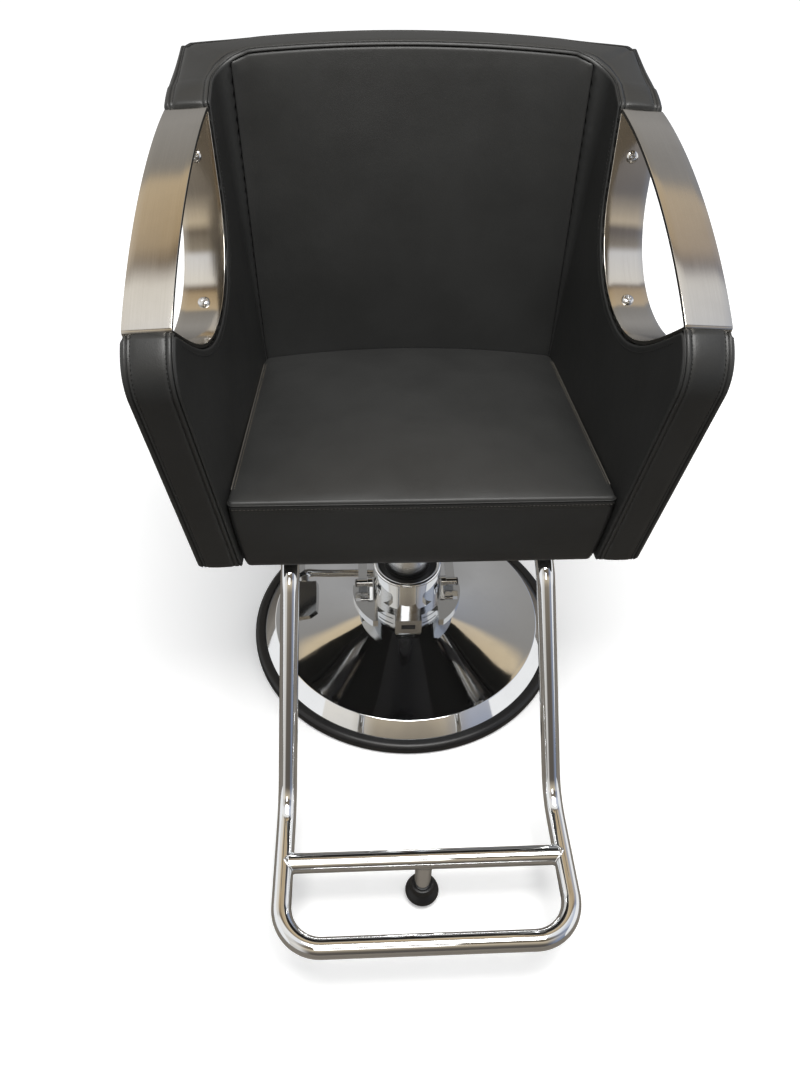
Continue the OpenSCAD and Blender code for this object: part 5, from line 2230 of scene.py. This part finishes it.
@dataclass
class Studio:
    """A pale floor, plain soft lights, a room that only polished surfaces show, and the picture's camera."""

    focus: float = 820.0
    frame_h: float = 1067.0
    sensor: float = 36.0
    spot: tuple[float, float, float] = (-76.5, -1080.2, 1283.0)
    yaw: float = math.radians(3.26)
    pitch: float = math.radians(43.5)
    roll: float = math.radians(1.26)

    def build(self) -> None:
        """Makes the stage and sets the view."""
        self.world()
        self.arch()
        self.floor()
        self.lights()
        self.camera()
        bpy.context.scene.view_settings.view_transform = "Standard"

    def world(self) -> None:
        """White where the camera, metal or glass looks, and a soft sky elsewhere."""
        world = bpy.data.worlds.new("studio")
        bpy.context.scene.world = world
        graph = Graph(world)
        way = graph.node("ShaderNodeTexCoord", {}, {}, "Generated")
        sky = graph.blend(graph.axis(way, 2).between(0.0, 0.9), (0.04, 0.04, 0.042), (0.27, 0.28, 0.295))
        soft = graph.node("ShaderNodeBackground", {}, {"Color": sky, "Strength": 1.0})
        white = graph.node("ShaderNodeBackground", {}, {"Color": (1.0, 1.0, 1.0), "Strength": 1.0})
        final = graph.node("ShaderNodeMixShader", {}, {0: self.looked_at(graph), 1: soft, 2: white})
        graph.node("ShaderNodeOutputWorld", {}, {"Surface": final})

    @staticmethod
    def looked_at(graph: Graph) -> Wire:
        """1 where the camera, metal or glass looks, and 0 for the light that falls on things.

        Args:
            graph: The tree that wants to know.

        Returns:
            A wire from 0 to 1.
        """
        kinds = ("Camera", "Glossy", "Transmission")
        seen, shown, through = (graph.node("ShaderNodeLightPath", {}, {}, f"Is {kind} Ray") for kind in kinds)
        return seen.or_more(shown).or_more(through)

    def arch(self, radius: float = 7.0, reach: float = 9.0, steps: int = 48) -> None:
        """A printed arch over the chair that only polished surfaces show: a ceiling, its lights and warm walls.

        Args:
            radius: Its radius, in metres.
            reach: How far it goes to each side, in metres.
            steps: The number of its flats.
        """
        graph = Graph(bpy.data.materials.new("room print"))
        place = graph.place()
        side, depth, height = (graph.axis(place, number) for number in range(3))
        wobble = graph.noise(place, 0.37, 2.0) * 0.07 - 0.035
        over = height.turn_over(depth) * (1 / math.pi)
        room = graph.node("ShaderNodeValToRGB", {"stops": ROOM}, {0: over + wobble})
        room = graph.blend(side.between(2.2, 6.0) * 0.6, room, (0.36, 0.44, 0.62))
        room = graph.blend((side * -1.0).between(2.2, 5.0) * 0.75, room, (0.94, 0.92, 0.88))
        material = graph.close(
            Base_Color=(0.0, 0.0, 0.0),
            Roughness=1.0,
            Specular_IOR_Level=0.0,
            Emission_Color=room,
            Emission_Strength=1.0,
        )
        material.cycles.emission_sampling = "NONE"
        turn = np.linspace(0.0, math.pi, steps + 1)
        rim = np.stack([0 * turn, radius * np.cos(turn), radius * np.sin(turn)], axis=1)
        points = np.vstack([rim + (-reach, 0.0, 0.0), rim + (reach, 0.0, 0.0)])
        faces = [(i, i + 1, i + steps + 2, i + steps + 1) for i in range(steps)]
        self.only_reflected(self.stand("room arch", material, points, faces))

    @staticmethod
    def only_reflected(made: bpy.types.Object) -> None:
        """Hides a stage piece from everything but polished surfaces."""
        made.visible_camera = made.visible_diffuse = made.visible_shadow = made.visible_transmission = False

    def floor(self) -> None:
        """A wide pale floor that stays pale far from the lights, and the warm floor that the chrome shows."""
        graph = Graph(bpy.data.materials.new("pale floor"))
        place = graph.place()
        tone = graph.noise(place, 1.5, 2.0)
        far = graph.node("ShaderNodeVectorMath", {"operation": "LENGTH"}, {0: place}, "Value").between(0.5, 2.4)
        seen = self.looked_at(graph)
        shade = graph.blend(tone, (0.93, 0.93, 0.93), (0.95, 0.95, 0.95))
        glow = graph.blend(far, (0.26, 0.26, 0.26), (0.8, 0.8, 0.8))
        pale = graph.close(
            Base_Color=graph.blend(seen, (0.4, 0.39, 0.38), shade),
            Roughness=0.9,
            Specular_IOR_Level=0.1,
            Emission_Color=graph.blend(seen, (0.0, 0.0, 0.0), glow),
            Emission_Strength=1.0,
        )
        self.card("floor", pale, 60.0, -0.0006)
        graph = Graph(bpy.data.materials.new("warm floor"))
        boards = graph.noise(graph.stretched(graph.place(), (1.2, 9.0, 1.0)), 1.0, 3.0)
        warm = graph.close(
            Base_Color=graph.blend(boards, (0.1, 0.088, 0.075), (0.27, 0.24, 0.2)),
            Roughness=0.6,
            Specular_IOR_Level=0.2,
        )
        self.only_reflected(self.card("warm card", warm, 30.0, -0.0003))

    def card(self, name: str, material: bpy.types.Material, size: float, height: float) -> bpy.types.Object:
        """A flat square stage piece round the origin, with its side and its height in metres.

        Args:
            name: Its name.
            material: Its material.
            size: The length of its sides, in metres.
            height: Its height, in metres.

        Returns:
            The object.
        """
        half = size / 2
        corners = np.array([(-half, -half, 0.0), (half, -half, 0.0), (half, half, 0.0), (-half, half, 0.0)])
        made = self.stand(name, material, corners, [(0, 1, 2, 3)])
        made.location = (0.0, 0.0, height)
        return made

    @staticmethod
    def stand(
        name: str, material: bpy.types.Material, points: Array, faces: Sequence[tuple[int, ...]]
    ) -> bpy.types.Object:
        """Makes a stage piece.

        Args:
            name: Its name.
            material: Its material.
            points: Its points, in metres.
            faces: Its faces, as indices of the points.

        Returns:
            The object.
        """
        mesh = bpy.data.meshes.new(name)
        mesh.from_pydata(points.tolist(), [], faces)
        mesh.materials.append(material)
        made = bpy.data.objects.new(name, mesh)
        bpy.context.scene.collection.objects.link(made)
        return made

    @staticmethod
    def lamp(
        name: str,
        place: tuple[float, float, float],
        size: tuple[float, float],
        power: float,
        colour: Colour,
        shown: bool = True,
    ) -> None:
        """A soft rectangular light that looks at the seat.

        Args:
            name: Its name.
            place: Its middle, in metres.
            size: Its width and depth, in metres.
            power: Its power, in watts.
            colour: Its colour.
            shown: Whether polished surfaces show it.
        """
        data = bpy.data.lights.new(name, "AREA")
        data.shape = "RECTANGLE"
        data.size, data.size_y = size
        data.energy = power
        data.color = colour
        made = bpy.data.objects.new(name, data)
        made.location = place
        aim = Vector((0.0, -0.1, 0.55)) - Vector(place)
        made.rotation_euler = aim.to_track_quat("-Z", "Y").to_euler()
        bpy.context.scene.collection.objects.link(made)
        made.visible_glossy = shown

    def lights(self) -> None:
        """A large light above, and two weak ones at the front and the right."""
        self.lamp("overhead", (0.1, -0.9, 3.25), (1.8, 1.4), 106.0, (1.0, 0.99, 0.97))
        self.lamp("front", (-0.3, -3.0, 3.4), (1.4, 1.0), 10.0, (0.98, 0.99, 1.0))
        self.lamp("rear", (1.2, 2.4, 2.6), (1.6, 1.2), 14.0, (1.0, 0.98, 0.95), shown=False)

    def camera(self) -> None:
        """The camera of the picture."""
        level = Vector((math.cos(self.yaw), -math.sin(self.yaw), 0.0))
        ahead = Vector((math.sin(self.yaw), math.cos(self.yaw), 0.0))
        look = ahead * math.cos(self.pitch) - Vector((0.0, 0.0, math.sin(self.pitch)))
        up = level.cross(look)
        right = math.cos(self.roll) * level + math.sin(self.roll) * up
        top = math.cos(self.roll) * up - math.sin(self.roll) * level
        data = bpy.data.cameras.new("camera")
        data.sensor_width = self.sensor
        data.lens = self.focus / self.frame_h * self.sensor
        data.clip_start, data.clip_end = 0.05, 100.0
        made = bpy.data.objects.new("camera", data)
        columns = (right, top, -look, Vector(self.spot) * MM)
        made.matrix_world = Matrix([[column[row] for column in columns] for row in range(3)] + [[0.0, 0.0, 0.0, 1.0]])
        bpy.context.scene.collection.objects.link(made)
        bpy.context.scene.camera = made


def main() -> None:
    """Builds the chair's pieces in order and lights them."""
    logging.basicConfig(level=logging.INFO, format="%(name)s %(message)s", stream=sys.stdout)
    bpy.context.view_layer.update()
    Studio().build()
    Hardware().dress()
    PumpBase().build()
    Footrest().build()
    cover = BucketCover()
    cover.build()
    BackCushion(cover).build()
    SeatCushion().build()
    for side in (-1, 1):
        ArmStrap(side).build()
    ArmBolts().build()


if __name__ == "__main__":
    main()
